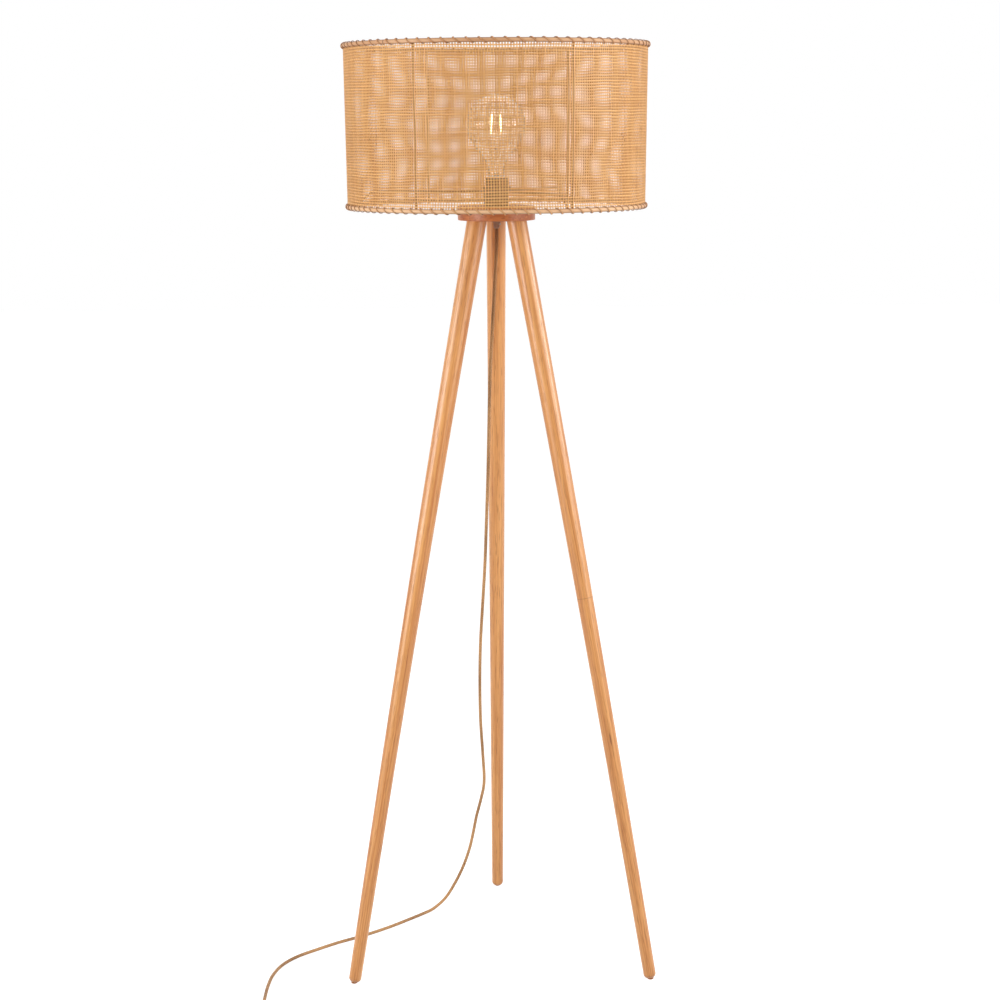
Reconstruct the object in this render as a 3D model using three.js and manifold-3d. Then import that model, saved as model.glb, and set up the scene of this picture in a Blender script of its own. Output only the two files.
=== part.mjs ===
// Rattan floor lamp: a woven drum shade on a turned wooden tripod, in millimetres, +Z up.
// The lamp stands on z = 0, and the origin is the middle of the space that it takes up on the floor.
import * as THREE from 'three';
import { mergeVertices } from 'three/addons/utils/BufferGeometryUtils.js';
import Module from 'manifold-3d';

const wasm = await Module();
wasm.setup();

// Fits that many pieces share
const seatGap = 0.3;
const cutOverrun = 2;

// Tripod
const legTopRadius = 16;
const legFootRadius = 10.25;
const legTopReach = 36.8;
const legFootReach = 283.5;
const legFootRounding = 5;
const padRadius = 6;
const padThickness = 2;
const legTurnShares = { front_left: 7 / 12, front_right: 11 / 12, back: 3 / 12 };

// Wooden disc that carries the legs, the lampholder and the shade
const discRadius = 62.4;
const discThickness = 22;
const discEdgeRounding = 2;
const discUnderside = 1244.6;

// Bolts that draw each leg up against the disc
const boltRadius = 4;
const boltInLeg = 35;
const boltInDisc = 12;
const boltChamfer = 0.8;
const insertRadius = 6;
const insertLength = 14;

// Threaded stem through the disc, its nut and washer, and the cord grip below
const stemRadius = 5;
const stemBoreRadius = 4;
const stemProud = 1;
const nutAcrossFlats = 14;
const nutHeight = 4;
const washerRadius = 9;
const washerThickness = 1.2;
const gripCollarRadius = 6.5;
const gripCollarHeight = 4;
const gripRadius = 5;
const gripTipRadius = 4;
const gripLength = 14;
const gripStemLength = 5;
const gripWall = 0.6;

// Lampholder for a medium screw cap
const holderRadius = 20;
const holderCapHeight = 18;
const holderWall = 2.4;
const holderFloor = 4;
const holderFlangeHeight = 4;
const barrelRadius = 19;
const barrelHeight = 25.8;
const coreThickness = 9;
const screwShellWall = 0.6;
const screwShellHeight = 21;
const contactRadius = 4;
const contactThickness = 0.8;
const terminalSpacing = 18;
const terminalScrewRadius = 1.6;
const terminalHeadRadius = 2.8;
const terminalHeadHeight = 1.8;
const leadRadius = 1;

// Globe bulb
const globeRadius = 47.5;
const globeArcShare = 0.328;
const bulbLength = 155;
const glassWall = 1;
const neckRadius = 12;
const capRadius = 13;
const capHeight = 27;
const capWall = 0.6;
const capTipRadius = 5;
const capThreadPitch = 3.63;
const capThreadDepth = 0.5;
const neckInCap = 8;
const glassStemRadius = 2.5;
const glassStemFlare = 9;
const stemHubThickness = 1.2;
const filamentRadius = 0.9;
const filamentFootReach = 11.2;
const filamentTopReach = 4.6;
const filamentHeight = 30;
const filamentCount = 4;
const filamentTurnShare = 1 / 18;

// Shade: frame wires, woven cane, outer hoops and the lashing round both rims
const shadeTopRadius = 241.6;
const shadeTaper = 2.9;
const shadeHeight = 251.5;
const shadeAboveDisc = 1;
const weaveThickness = 1.2;
const openingColumnCount = 18;
const openingRowCount = 3;
const openingWidthShare = 0.46;
const openingHeightShare = 0.5;
const wireRadius = 1.8;
const ribRadius = 1.5;
const ribCount = 6;
const ribTurnShare = -1 / 180;
const hoopThickness = 2.6;
const hoopHeight = 7;
const lashingThickness = 0.7;
const lashingWidth = 3.6;
const topLashingCount = 78;
const bottomLashingCount = 84;
const armRadius = 1.8;
const armCount = 3;
const armDrop = 40;
const spiderRim = 3;
const spiderThickness = 1.6;
const ringNutWall = 4;
const ringNutHeight = 6;
const ringNutFlutes = 18;
const ringNutFluteDepth = 0.7;

// Cord with its foot switch, coil, tie and plug
const cordRadius = 2.7;
const coilMiddleRadius = 30;
const coilPitchGap = 0.5;
const coilTurnsPerLayer = 3.25;
const coilSteps = 18;
const coilSides = 6;
const coilEndLength = 38;
const tieThickness = 0.8;
const tieWidth = 9;
const tieTurnShare = 0.21;
const plugThickness = 17;
const plugWidth = 24;
const plugLength = 28;
const plugNeckWidth = 9;
const plugRounding = 3;
const bladeWidth = 6.35;
const bladeThickness = 1.5;
const bladeLength = 17;
const bladeSpacing = 12.7;
const bladeSeat = 7;
const bladeHoleRadius = 1.6;
const switchLength = 66;
const switchWidth = 30;
const switchCorner = 9;
const switchBaseHeight = 8;
const switchCoverHeight = 9.5;
const switchRounding = 2;
const buttonRadius = 10;
const buttonFlange = 2;
const buttonTravel = 3;
const buttonProud = 4;
const switchCordHeight = 5;

// Number of facets
const woodSides = 20;
const discSides = 36;
const cordSteps = 48;
const roundSides = 20;
const smallSides = 12;
const hoopSides = 54;
const wireSides = 6;
const cordSides = 8;

// Hand-chosen route of the cord from the grip to the foot switch, seen from the lamp's axis
const cordRoute = [
  [0, 0, 1210], [-3, 2, 1150], [-8, 8, 1060], [-12, 15, 990], [-14, 26, 910], [-16, 41, 825],
  [-19, 58, 735], [-22, 75, 655], [-26, 92, 585], [-30, 110, 512], [-31.5, 128, 438], [-30.5, 147, 360],
  [-27, 162, 295], [-25, 174, 236], [-31, 180, 203], [-39, 185, 170], [-45, 189, 138], [-52, 191, 107],
  [-64, 192, 72], [-79, 189, 42], [-96, 180, 18], [-118, 162, 4.6], [-138, 142, 2.7], [-160, 119, 2.7],
  [-192, 87, 2.7], [-226, 58, 2.7], [-253, 38, 2.7], [-281, 19, 2.7], [-315, -9, 2.7], [-347, -38, 2.7],
  [-369, -70, 2.7], [-382, -110, 2.7], [-387, -155, 2.7], [-388, -200, 2.7], [-388, -235, 3.4],
];
const switchCentre = [-388, -292];
const coilStart = [-388, -385];

// Places that follow from the sizes above
const fullTurn = 2 * Math.PI;
const legTop = discUnderside - seatGap;
const legSlant = Math.atan((legFootReach - legTopReach) / discUnderside);
const discTop = discUnderside + discThickness;
const shadeBottomRadius = shadeTopRadius - shadeTaper;
const shadeBottomHeight = discTop + shadeAboveDisc;
const rimTopHeight = shadeBottomHeight + shadeHeight;
const shadeLean = Math.atan(shadeTaper / shadeHeight);
const holderBottom = discTop + seatGap;
const holderSplit = holderBottom + holderCapHeight;
const barrelBottom = holderSplit + seatGap;
const barrelFlangeTop = barrelBottom + holderFlangeHeight;
const barrelTop = barrelBottom + barrelHeight;
const bulbCapBottom = barrelFlangeTop - 1.5 * contactThickness;
const bulbTop = bulbCapBottom + bulbLength;
const globeCentre = bulbTop - globeRadius;
const screwShellRadius = capRadius + seatGap + screwShellWall;
const coreTop = bulbCapBottom - contactThickness - 2 * seatGap;
const coreBottom = coreTop - coreThickness;
const coreRadius = holderRadius - holderWall - seatGap;
const spiderBore = barrelRadius + seatGap;
const spiderBottom = barrelFlangeTop + seatGap;
const spiderTop = spiderBottom + spiderThickness;
const frontReach = shadeTopRadius + weaveThickness / 2 + 2 * seatGap + hoopThickness + lashingThickness;
const backReach = legFootReach + legFootRadius;
const axisY = (frontReach - backReach) / 2;
const cordWidth = 2 * cordRadius;
const coilPitch = cordWidth + coilPitchGap;

// Colours
const woodColour = 0xc98a4e;
const discColour = 0xb06a38;
const caneColour = 0xd9a566;
const rimColour = 0xbf8a55;
const blackPlastic = 0x1d1b1a;
const steelColour = 0xa9aaac;
const brassColour = 0xc9a45a;
const cordColour = 0xb58a5c;

const lamp = new THREE.Group();
lamp.position.y = axisY;
const object = new THREE.Group();
object.add(lamp);

function finish(color, roughness, metalness = 0) {
  return new THREE.MeshStandardMaterial({ color, roughness, metalness });
}

function place(name, geometry, material, turn = 0) {
  const mesh = new THREE.Mesh(geometry, material);
  mesh.name = name;
  mesh.rotation.z = turn;
  lamp.add(mesh);
  return mesh;
}

// Merge shared corners and leave out triangles that close up to a line.
function weld(geometry) {
  const plain = geometry.clone();
  for (const name of Object.keys(plain.attributes)) {
    if (name !== 'position') plain.deleteAttribute(name);
  }
  const merged = mergeVertices(plain);
  const corners = merged.index.array;
  const kept = [];
  for (let i = 0; i < corners.length; i += 3) {
    const [a, b, c] = [corners[i], corners[i + 1], corners[i + 2]];
    if (a !== b && b !== c && c !== a) kept.push(a, b, c);
  }
  merged.setIndex(kept);
  return merged;
}

function solidOf(geometry) {
  const welded = weld(geometry);
  const vertProperties = new Float32Array(welded.attributes.position.array);
  const triVerts = new Uint32Array(welded.index.array);
  return new wasm.Manifold(new wasm.Mesh({ numProp: 3, vertProperties, triVerts }));
}

function geometryOf(solid) {
  const mesh = solid.getMesh();
  const geometry = new THREE.BufferGeometry();
  geometry.setAttribute('position', new THREE.BufferAttribute(mesh.vertProperties, 3));
  geometry.setIndex(new THREE.BufferAttribute(mesh.triVerts, 1));
  return geometry;
}

function cut(geometry, tools) {
  let solid = solidOf(geometry);
  for (const tool of tools) solid = solid.subtract(solidOf(tool));
  return geometryOf(solid);
}

function join(geometries) {
  const [first, ...others] = geometries.map(solidOf);
  return geometryOf(others.reduce((whole, next) => whole.add(next), first));
}

// Turn an outline of [radius, height] points round the Z axis.
function turned(outline, sides = roundSides) {
  const points = outline.map(([radius, height]) => new THREE.Vector2(radius, height));
  return weld(new THREE.LatheGeometry(points, sides).rotateX(Math.PI / 2));
}

// A ring section is an outline that closes on itself, away from the axis.
function ring(outline, sides = roundSides) {
  return turned([...outline, outline[0]], sides);
}

function tubeRing(inner, outer, bottom, top, sides = roundSides) {
  return ring([[inner, bottom], [outer, bottom], [outer, top], [inner, top]], sides);
}

function rod(radius, bottom, top, sides = smallSides) {
  return turned([[0, bottom], [radius, bottom], [radius, top], [0, top]], sides);
}

function circle(radius, sides, fromAngle = 0) {
  const points = [];
  for (let i = 0; i < sides; i++) {
    const angle = fromAngle + (2 * Math.PI * i) / sides;
    points.push(new THREE.Vector2(radius * Math.cos(angle), radius * Math.sin(angle)));
  }
  return points;
}

function tube(path, radius, sides, steps) {
  const section = new THREE.Shape(circle(radius, sides));
  return weld(new THREE.ExtrudeGeometry(section, { steps, extrudePath: path, bevelEnabled: false }));
}

// Closed tube through a list of points that never run upright, with its rings kept level.
function sweep(points, radius, sides) {
  const positions = [];
  const corners = [];
  const up = new THREE.Vector3(0, 0, 1);
  points.forEach((point, i) => {
    const before = points[Math.max(0, i - 1)];
    const after = points[Math.min(points.length - 1, i + 1)];
    const along = after.clone().sub(before).normalize();
    const side = along.clone().cross(up).normalize();
    const above = side.clone().cross(along);
    for (const { x, y } of circle(radius, sides, Math.PI / sides)) {
      const corner = point.clone().addScaledVector(side, x).addScaledVector(above, y);
      positions.push(corner.x, corner.y, corner.z);
    }
  });
  const last = points.length - 1;
  for (let i = 0; i < last; i++) {
    for (let k = 0; k < sides; k++) {
      const next = (k + 1) % sides;
      const [a, b] = [i * sides + k, i * sides + next];
      corners.push(a, b + sides, b, a, a + sides, b + sides);
    }
  }
  for (let k = 1; k < sides - 1; k++) {
    corners.push(0, k, k + 1);
    corners.push(last * sides, last * sides + k + 1, last * sides + k);
  }
  const geometry = new THREE.BufferGeometry();
  geometry.setAttribute('position', new THREE.Float32BufferAttribute(positions, 3));
  geometry.setIndex(corners);
  return geometry;
}

function curveThrough(points) {
  const corners = points.map(([x, y, z]) => new THREE.Vector3(x, y, z));
  return new THREE.CatmullRomCurve3(corners, false, 'centripetal');
}

function straight(from, to) {
  return new THREE.LineCurve3(new THREE.Vector3(...from), new THREE.Vector3(...to));
}

function roundedRectangle(width, length, corner) {
  const [x, y] = [width / 2, length / 2];
  const shape = new THREE.Shape();
  shape.moveTo(-x + corner, -y);
  shape.lineTo(x - corner, -y);
  shape.absarc(x - corner, -y + corner, corner, -Math.PI / 2, 0);
  shape.lineTo(x, y - corner);
  shape.absarc(x - corner, y - corner, corner, 0, Math.PI / 2);
  shape.lineTo(-x + corner, y);
  shape.absarc(-x + corner, y - corner, corner, Math.PI / 2, Math.PI);
  shape.lineTo(-x, -y + corner);
  shape.absarc(-x + corner, -y + corner, corner, Math.PI, 1.5 * Math.PI);
  return shape;
}

// Tripod

// Lean a piece that was made upright about the foot of the leg, towards the lamp's axis.
function leanWithLeg(geometry) {
  return geometry.rotateY(-legSlant).translate(legFootReach, 0, 0);
}

// Distance along the leg's axis from the floor to a height.
function alongLeg(height) {
  return height / Math.cos(legSlant);
}

function legShape() {
  const tip = -legFootRounding / 2;
  const outline = [[0, tip]];
  const arcSteps = 4;
  for (let i = 0; i <= arcSteps; i++) {
    const angle = (fullTurn / 4) * (i / arcSteps);
    const radius = legFootRadius - legFootRounding * (1 - Math.sin(angle));
    outline.push([radius, tip + legFootRounding * (1 - Math.cos(angle))]);
  }
  const top = alongLeg(discUnderside) + legTopRadius;
  outline.push([legTopRadius, top], [0, top]);
  const leg = leanWithLeg(turned(outline, woodSides));
  const reach = 2 * (legFootReach + legFootRadius);
  const slab = new THREE.BoxGeometry(reach, reach, reach);
  const aboveTop = slab.clone().translate(0, 0, legTop + reach / 2);
  const belowPad = slab.clone().translate(0, 0, padThickness + seatGap - reach / 2);
  const boltEnd = alongLeg(discUnderside) - boltInLeg - cutOverrun;
  const boltHole = leanWithLeg(rod(boltRadius + seatGap, boltEnd, top + cutOverrun));
  return cut(leg, [aboveTop, belowPad, boltHole]);
}

function boltShape() {
  const middle = alongLeg(discUnderside);
  const [bottom, top] = [middle - boltInLeg, middle + boltInDisc];
  const endRadius = boltRadius - boltChamfer;
  const outline = [
    [0, bottom], [endRadius, bottom], [boltRadius, bottom + boltChamfer],
    [boltRadius, top - boltChamfer], [endRadius, top], [0, top],
  ];
  return leanWithLeg(turned(outline, smallSides));
}

function insertBottom() {
  return alongLeg(discUnderside) + insertRadius * Math.tan(legSlant) + seatGap;
}

function insertShape() {
  const bottom = insertBottom();
  return leanWithLeg(tubeRing(boltRadius + seatGap, insertRadius, bottom, bottom + insertLength, smallSides));
}

function insertHole() {
  const top = insertBottom() + insertLength + seatGap;
  return leanWithLeg(rod(insertRadius + seatGap, alongLeg(discUnderside) - insertRadius, top));
}

function padShape() {
  return rod(padRadius, 0, padThickness, woodSides).translate(legFootReach, 0, 0);
}

function makeTripod() {
  const wood = finish(woodColour, 0.45);
  const steel = finish(steelColour, 0.35, 1);
  const felt = finish(0x3a332c, 0.9);
  for (const [side, share] of Object.entries(legTurnShares)) {
    const turn = fullTurn * share;
    place(`leg_${side}`, legShape(), wood, turn);
    place(`leg_bolt_${side}`, boltShape(), steel, turn);
    place(`leg_insert_${side}`, insertShape(), finish(brassColour, 0.4, 1), turn);
    place(`foot_pad_${side}`, padShape(), felt, turn);
  }
}

// Disc, stem, nut and grip

const recessRadius = washerRadius + seatGap;
const recessDepth = nutHeight + washerThickness + 2 * seatGap;
const recessTop = discUnderside + recessDepth;

function discShape() {
  const [bottom, top, round] = [discUnderside, discTop, discEdgeRounding];
  const bore = stemRadius + seatGap;
  const disc = ring([
    [recessRadius, bottom], [discRadius - round, bottom], [discRadius, bottom + round],
    [discRadius, top - round], [discRadius - round, top], [bore, top],
    [bore, recessTop], [recessRadius, recessTop],
  ], discSides);
  const holes = Object.values(legTurnShares).map((share) => insertHole().rotateZ(fullTurn * share));
  return cut(disc, holes);
}

function nutShape() {
  const across = nutAcrossFlats / 2 / Math.cos(fullTurn / 12);
  const shape = new THREE.Shape(circle(across, 6));
  shape.holes.push(new THREE.Path(circle(stemRadius + seatGap, smallSides)));
  const nut = new THREE.ExtrudeGeometry(shape, { depth: nutHeight, bevelEnabled: false });
  return nut.translate(0, 0, discUnderside);
}

function gripShape() {
  const collarTop = discUnderside - seatGap;
  const bottom = discUnderside - gripLength;
  const collarBottom = collarTop - gripCollarHeight;
  const bore = cordRadius + seatGap;
  const stem = bore + gripWall;
  return ring([
    [bore, bottom], [gripTipRadius, bottom], [gripRadius, bottom + gripTipRadius],
    [gripRadius, collarBottom], [gripCollarRadius, collarBottom], [gripCollarRadius, collarTop],
    [stem, collarTop], [stem, collarTop + gripStemLength], [bore, collarTop + gripStemLength],
  ]);
}

function makeStem() {
  const steel = finish(steelColour, 0.35, 1);
  const washerBottom = discUnderside + nutHeight + seatGap;
  place('top_disc', discShape(), finish(discColour, 0.45));
  place('stem_nipple', tubeRing(stemBoreRadius, stemRadius, discUnderside, stemTop), steel);
  place('lock_nut', nutShape(), steel);
  const washer = tubeRing(stemRadius + seatGap, washerRadius, washerBottom, washerBottom + washerThickness);
  place('lock_washer', washer, steel);
  place('cord_grip', gripShape(), finish(0x8d8a86, 0.5));
}

// Lampholder

const stemTop = holderBottom + holderFloor + stemProud;
const wireEntry = stemTop - 4 * leadRadius;

function holderCapShape() {
  const bore = stemRadius + seatGap;
  const inner = holderRadius - holderWall;
  const ledge = inner - holderWall;
  return ring([
    [bore, holderBottom], [holderRadius - 1, holderBottom], [holderRadius, holderBottom + 1],
    [holderRadius, holderSplit], [inner, holderSplit], [inner, coreBottom - seatGap],
    [ledge, coreBottom - seatGap], [ledge, holderBottom + holderFloor], [bore, holderBottom + holderFloor],
  ]);
}

function holderBarrelShape() {
  const inner = screwShellRadius + seatGap;
  const skirt = coreRadius + seatGap;
  return ring([
    [skirt, barrelBottom], [holderRadius, barrelBottom], [holderRadius, barrelFlangeTop],
    [barrelRadius, barrelFlangeTop], [barrelRadius, barrelTop], [inner, barrelTop],
    [inner, coreTop + seatGap], [skirt, coreTop + seatGap],
  ]);
}

function makeHolder() {
  const black = finish(blackPlastic, 0.4);
  const brass = finish(brassColour, 0.35, 1);
  place('holder_cap', holderCapShape(), black);
  place('holder_barrel', holderBarrelShape(), black);
  const side = terminalSpacing / 2;
  const screwHole = rod(terminalScrewRadius + seatGap, coreBottom - cutOverrun, coreBottom + coreThickness / 2);
  const core = cut(
    rod(coreRadius, coreBottom, coreTop, roundSides),
    [screwHole.clone().translate(side, 0, 0), screwHole.clone().translate(-side, 0, 0)],
  );
  place('holder_core', core, finish(0xe8e2d6, 0.5));
  const shellBottom = coreTop + seatGap;
  const [inner, outer] = [screwShellRadius - screwShellWall, screwShellRadius];
  const shellLip = contactRadius + 3 * screwShellWall;
  const shell = ring([
    [shellLip, shellBottom], [outer, shellBottom], [outer, shellBottom + screwShellHeight],
    [inner, shellBottom + screwShellHeight], [inner, shellBottom + screwShellWall],
    [shellLip, shellBottom + screwShellWall],
  ]);
  place('screw_shell', shell, brass);
  place('centre_contact', rod(contactRadius, shellBottom, shellBottom + contactThickness), brass);
  const headTop = coreBottom - seatGap;
  for (const [name, x] of [['live', side], ['neutral', -side]]) {
    const screw = turned([
      [0, headTop - terminalHeadHeight], [terminalHeadRadius, headTop - terminalHeadHeight],
      [terminalHeadRadius, headTop], [terminalScrewRadius, headTop],
      [terminalScrewRadius, coreBottom + coreThickness / 3], [0, coreBottom + coreThickness / 3],
    ], smallSides).translate(x, 0, 0);
    place(`terminal_screw_${name}`, screw, brass);
    const leadEnd = headTop - terminalHeadHeight - leadRadius - seatGap;
    const from = Math.sign(x) * (leadRadius + seatGap);
    const lead = tube(curveThrough([
      [from, 0, wireEntry], [from, 0, wireEntry + 2 * leadRadius], [from * 2, 0, leadEnd - leadRadius / 2],
      [x, 0, leadEnd],
    ]), leadRadius, wireSides, smallSides);
    place(`lead_${name}`, lead, finish(name === 'live' ? 0x222222 : 0xd8d4cc, 0.5));
  }
  const innerCord = rod(cordRadius, discUnderside - gripLength, wireEntry - seatGap);
  place('cord_in_stem', innerCord, finish(cordColour, 0.8));
}

// Bulb

// Outline of the envelope from its crown to its neck, drawn in by the wall's thickness.
function envelope(wall) {
  const radius = globeRadius - wall;
  const neck = neckRadius - wall;
  const turnAngle = fullTurn * globeArcShare;
  const points = [];
  const globeSteps = 9;
  for (let i = 0; i <= globeSteps; i++) {
    const angle = (turnAngle * i) / globeSteps;
    points.push([radius * Math.sin(angle), globeCentre + radius * Math.cos(angle)]);
  }
  const [fromRadius, fromHeight] = points[globeSteps];
  const neckHeight = bulbCapBottom + capHeight;
  const leave = new THREE.Vector2(Math.cos(turnAngle), -Math.sin(turnAngle));
  const reach = (fromHeight - neckHeight) / 2;
  const blend = new THREE.CubicBezierCurve(
    new THREE.Vector2(fromRadius, fromHeight),
    new THREE.Vector2(fromRadius, fromHeight).addScaledVector(leave, reach),
    new THREE.Vector2(neck, neckHeight + reach),
    new THREE.Vector2(neck, neckHeight),
  );
  for (const point of blend.getPoints(3).slice(1)) points.push([point.x, point.y]);
  points.push([neck, neckHeight - neckInCap]);
  return points;
}

function bulbGlassShape() {
  return turned([...envelope(glassWall), ...envelope(0).reverse()]);
}

function bulbCapShape() {
  const bottom = bulbCapBottom;
  const threadStart = bottom + capTipRadius;
  const outer = [[0, bottom], [capTipRadius, bottom], [capRadius - capThreadDepth, threadStart]];
  const threads = 4;
  for (let i = 0; i < threads; i++) {
    const height = threadStart + capThreadPitch * i;
    outer.push([capRadius, height + capThreadPitch / 2]);
    outer.push([capRadius - capThreadDepth, height + capThreadPitch]);
  }
  const top = bottom + capHeight - seatGap;
  const inner = capRadius - capThreadDepth - capWall / 2;
  outer.push([capRadius - capThreadDepth + capWall / 2, top], [inner, top]);
  outer.push([inner, threadStart + capWall], [0, threadStart - capWall]);
  return turned(outer, woodSides);
}

function bulbStemShape() {
  const bottom = bulbCapBottom + capHeight - neckInCap / 2;
  const flareRadius = neckRadius - glassWall - seatGap;
  const hubRadius = filamentTopReach + filamentRadius;
  const hubBottom = globeCentre + filamentHeight / 2 + filamentRadius + 2 * seatGap;
  return turned([
    [0, bottom], [flareRadius, bottom], [flareRadius, bottom + glassWall],
    [glassStemRadius, bottom + glassStemFlare], [glassStemRadius, globeCentre - filamentHeight / 2],
    [glassWall, globeCentre], [glassWall, hubBottom], [hubRadius, hubBottom],
    [hubRadius, hubBottom + stemHubThickness], [0, hubBottom + stemHubThickness],
  ], smallSides);
}

function makeBulb() {
  const glass = new THREE.MeshStandardMaterial({
    color: 0xffffff, roughness: 0.05, metalness: 0, transparent: true, opacity: 0.3,
  });
  place('bulb_glass', bulbGlassShape(), glass);
  place('bulb_cap', bulbCapShape(), finish(steelColour, 0.35, 1));
  place('bulb_stem', bulbStemShape(), glass);
  const glow = finish(0xffe2a8, 0.5);
  const middle = globeCentre + filamentRadius;
  for (let i = 0; i < filamentCount; i++) {
    const path = straight(
      [filamentFootReach, 0, middle - filamentHeight / 2],
      [filamentTopReach, 0, middle + filamentHeight / 2],
    );
    const turn = fullTurn * (filamentTurnShare + i / filamentCount);
    place(`filament_${i + 1}`, tube(path, filamentRadius, wireSides, 1), glow, turn);
  }
}

// Shade

const wireInset = weaveThickness / 2 + seatGap + wireRadius;
const hoopOuter = weaveThickness / 2 + seatGap + hoopThickness;

// Place in a rim's section: so far out from the weave's middle, and so far up along its slope.
function atRim(radius, height, out, up) {
  const [cos, sin] = [Math.cos(shadeLean), Math.sin(shadeLean)];
  return [radius + out * cos + up * sin, height - out * sin + up * cos];
}

const facetDip = shadeTopRadius * (1 - Math.cos(Math.PI / hoopSides));
const ribInset = weaveThickness / 2 + seatGap + facetDip + ribRadius;
const lashingHalf = hoopHeight / 2 + seatGap;
const weaveEdge = lashingHalf + lashingThickness + seatGap;

function rimWire(radius, height) {
  const section = circle(wireRadius, wireSides, fullTurn / 12);
  return ring(section.map(({ x, y }) => atRim(radius, height, x - wireInset, y)), hoopSides);
}

// Half-round cane, drawn with the woven edge that is glued to its flat side.
function rimHoop(radius, height) {
  const inner = -weaveThickness / 2;
  const half = hoopHeight / 2;
  const shoulder = inner + 0.8 * (hoopOuter - inner);
  const section = [[inner, -half], [shoulder, -half / 2], [hoopOuter, 0], [shoulder, half / 2], [inner, half]];
  return ring(section.map(([out, up]) => atRim(radius, height, out, up)), hoopSides);
}

// One unbroken strip of split cane, wound round the wire and the hoop until it meets its own start.
// The four corners of a turn come in the order that makes the strip lean down to the right outside.
function rimLashing(radius, height, turns, cornerAtRib) {
  const steps = 4 * turns;
  const inside = -wireInset - wireRadius - facetDip - seatGap;
  const outside = hoopOuter + seatGap;
  const halfWidth = lashingWidth / 2 / radius;
  const positions = [];
  const faces = [];
  for (let i = 0; i < steps; i++) {
    const turn = fullTurn * (ribTurnShare + (i - cornerAtRib) / steps);
    const [side, level] = [i % 4 < 2 ? 1 : -1, i % 4 === 0 || i % 4 === 3 ? 1 : -1];
    const near = atRim(radius, height, side > 0 ? outside : inside, level * lashingHalf);
    const far = atRim(
      radius, height, (side > 0 ? outside : inside) + side * lashingThickness,
      level * (lashingHalf + lashingThickness),
    );
    for (const [[reach, z], angle] of [
      [near, turn - halfWidth], [near, turn + halfWidth], [far, turn + halfWidth], [far, turn - halfWidth],
    ]) positions.push(reach * Math.cos(angle), reach * Math.sin(angle), z);
    const next = ((i + 1) % steps) * 4;
    for (let k = 0; k < 4; k++) {
      const [a, b, c, d] = [4 * i + k, 4 * i + ((k + 1) % 4), next + ((k + 1) % 4), next + k];
      faces.push(a, b, c, a, c, d);
    }
  }
  const geometry = new THREE.BufferGeometry();
  geometry.setAttribute('position', new THREE.Float32BufferAttribute(positions, 3));
  geometry.setIndex(faces);
  return geometry;
}

// The woven wall between the two lashings, as open as the weave is, with a plain grid of openings.
function weaveShape() {
  const half = weaveThickness / 2;
  const wall = ring([
    atRim(shadeBottomRadius, shadeBottomHeight, -half, weaveEdge),
    atRim(shadeBottomRadius, shadeBottomHeight, half, weaveEdge),
    atRim(shadeTopRadius, rimTopHeight, half, -weaveEdge),
    atRim(shadeTopRadius, rimTopHeight, -half, -weaveEdge),
  ], 2 * openingColumnCount);
  const rowPitch = (shadeHeight - 2 * weaveEdge) / openingRowCount;
  const columnPitch = (fullTurn * shadeBottomRadius) / openingColumnCount;
  const opening = new THREE.BoxGeometry(
    4 * weaveThickness + 2 * shadeTaper, openingWidthShare * columnPitch, openingHeightShare * rowPitch,
  ).translate((shadeTopRadius + shadeBottomRadius) / 2, 0, 0);
  const openings = [];
  for (let row = 0; row < openingRowCount; row++) {
    const height = shadeBottomHeight + weaveEdge + (row + 0.5) * rowPitch;
    for (let column = 0; column < openingColumnCount; column++) {
      const turn = (fullTurn * (column + 0.25)) / openingColumnCount;
      openings.push(opening.clone().translate(0, 0, height).rotateZ(turn));
    }
  }
  return cut(wall, openings);
}

function ribShape() {
  const clear = wireRadius + 2 * seatGap;
  const [fromReach, fromHeight] = atRim(shadeBottomRadius, shadeBottomHeight, -ribInset, clear);
  const [toReach, toHeight] = atRim(shadeTopRadius, rimTopHeight, -ribInset, -clear);
  return tube(straight([fromReach, 0, fromHeight], [toReach, 0, toHeight]), ribRadius, cordSides, 1);
}

function spiderShape() {
  const collarRadius = spiderBore + ringNutWall + spiderRim;
  const collar = tubeRing(spiderBore, collarRadius, spiderBottom, spiderTop);
  const middle = (spiderBottom + spiderTop) / 2;
  const [wireReach, wireHeight] = atRim(shadeBottomRadius, shadeBottomHeight, -wireInset, 0);
  const tip = wireReach - wireRadius - seatGap;
  const line = [new THREE.Vector3(collarRadius - spiderThickness, 0, middle)];
  const bendSteps = 6;
  for (let i = 0; i <= bendSteps; i++) {
    const share = i / bendSteps;
    const fall = (1 - Math.cos(Math.PI * share)) / 2;
    const height = middle + (wireHeight - middle) * fall;
    line.push(new THREE.Vector3(tip - armDrop * (1 - share), 0, height));
  }
  const arms = [];
  for (let i = 0; i < armCount; i++) {
    const turn = fullTurn * (ribTurnShare + (i + 0.5) / armCount);
    arms.push(sweep(line, armRadius, wireSides).rotateZ(turn));
  }
  return join([collar, ...arms]);
}

function ringNutShape() {
  const outer = spiderBore + ringNutWall;
  const outline = [];
  for (let i = 0; i < 2 * ringNutFlutes; i++) {
    const angle = (Math.PI * i) / ringNutFlutes;
    const radius = i % 2 ? outer : outer - ringNutFluteDepth;
    outline.push(new THREE.Vector2(radius * Math.cos(angle), radius * Math.sin(angle)));
  }
  const shape = new THREE.Shape(outline);
  shape.holes.push(new THREE.Path(circle(spiderBore, roundSides)));
  const nut = new THREE.ExtrudeGeometry(shape, { depth: ringNutHeight, bevelEnabled: false });
  return nut.translate(0, 0, spiderTop + seatGap);
}

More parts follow.
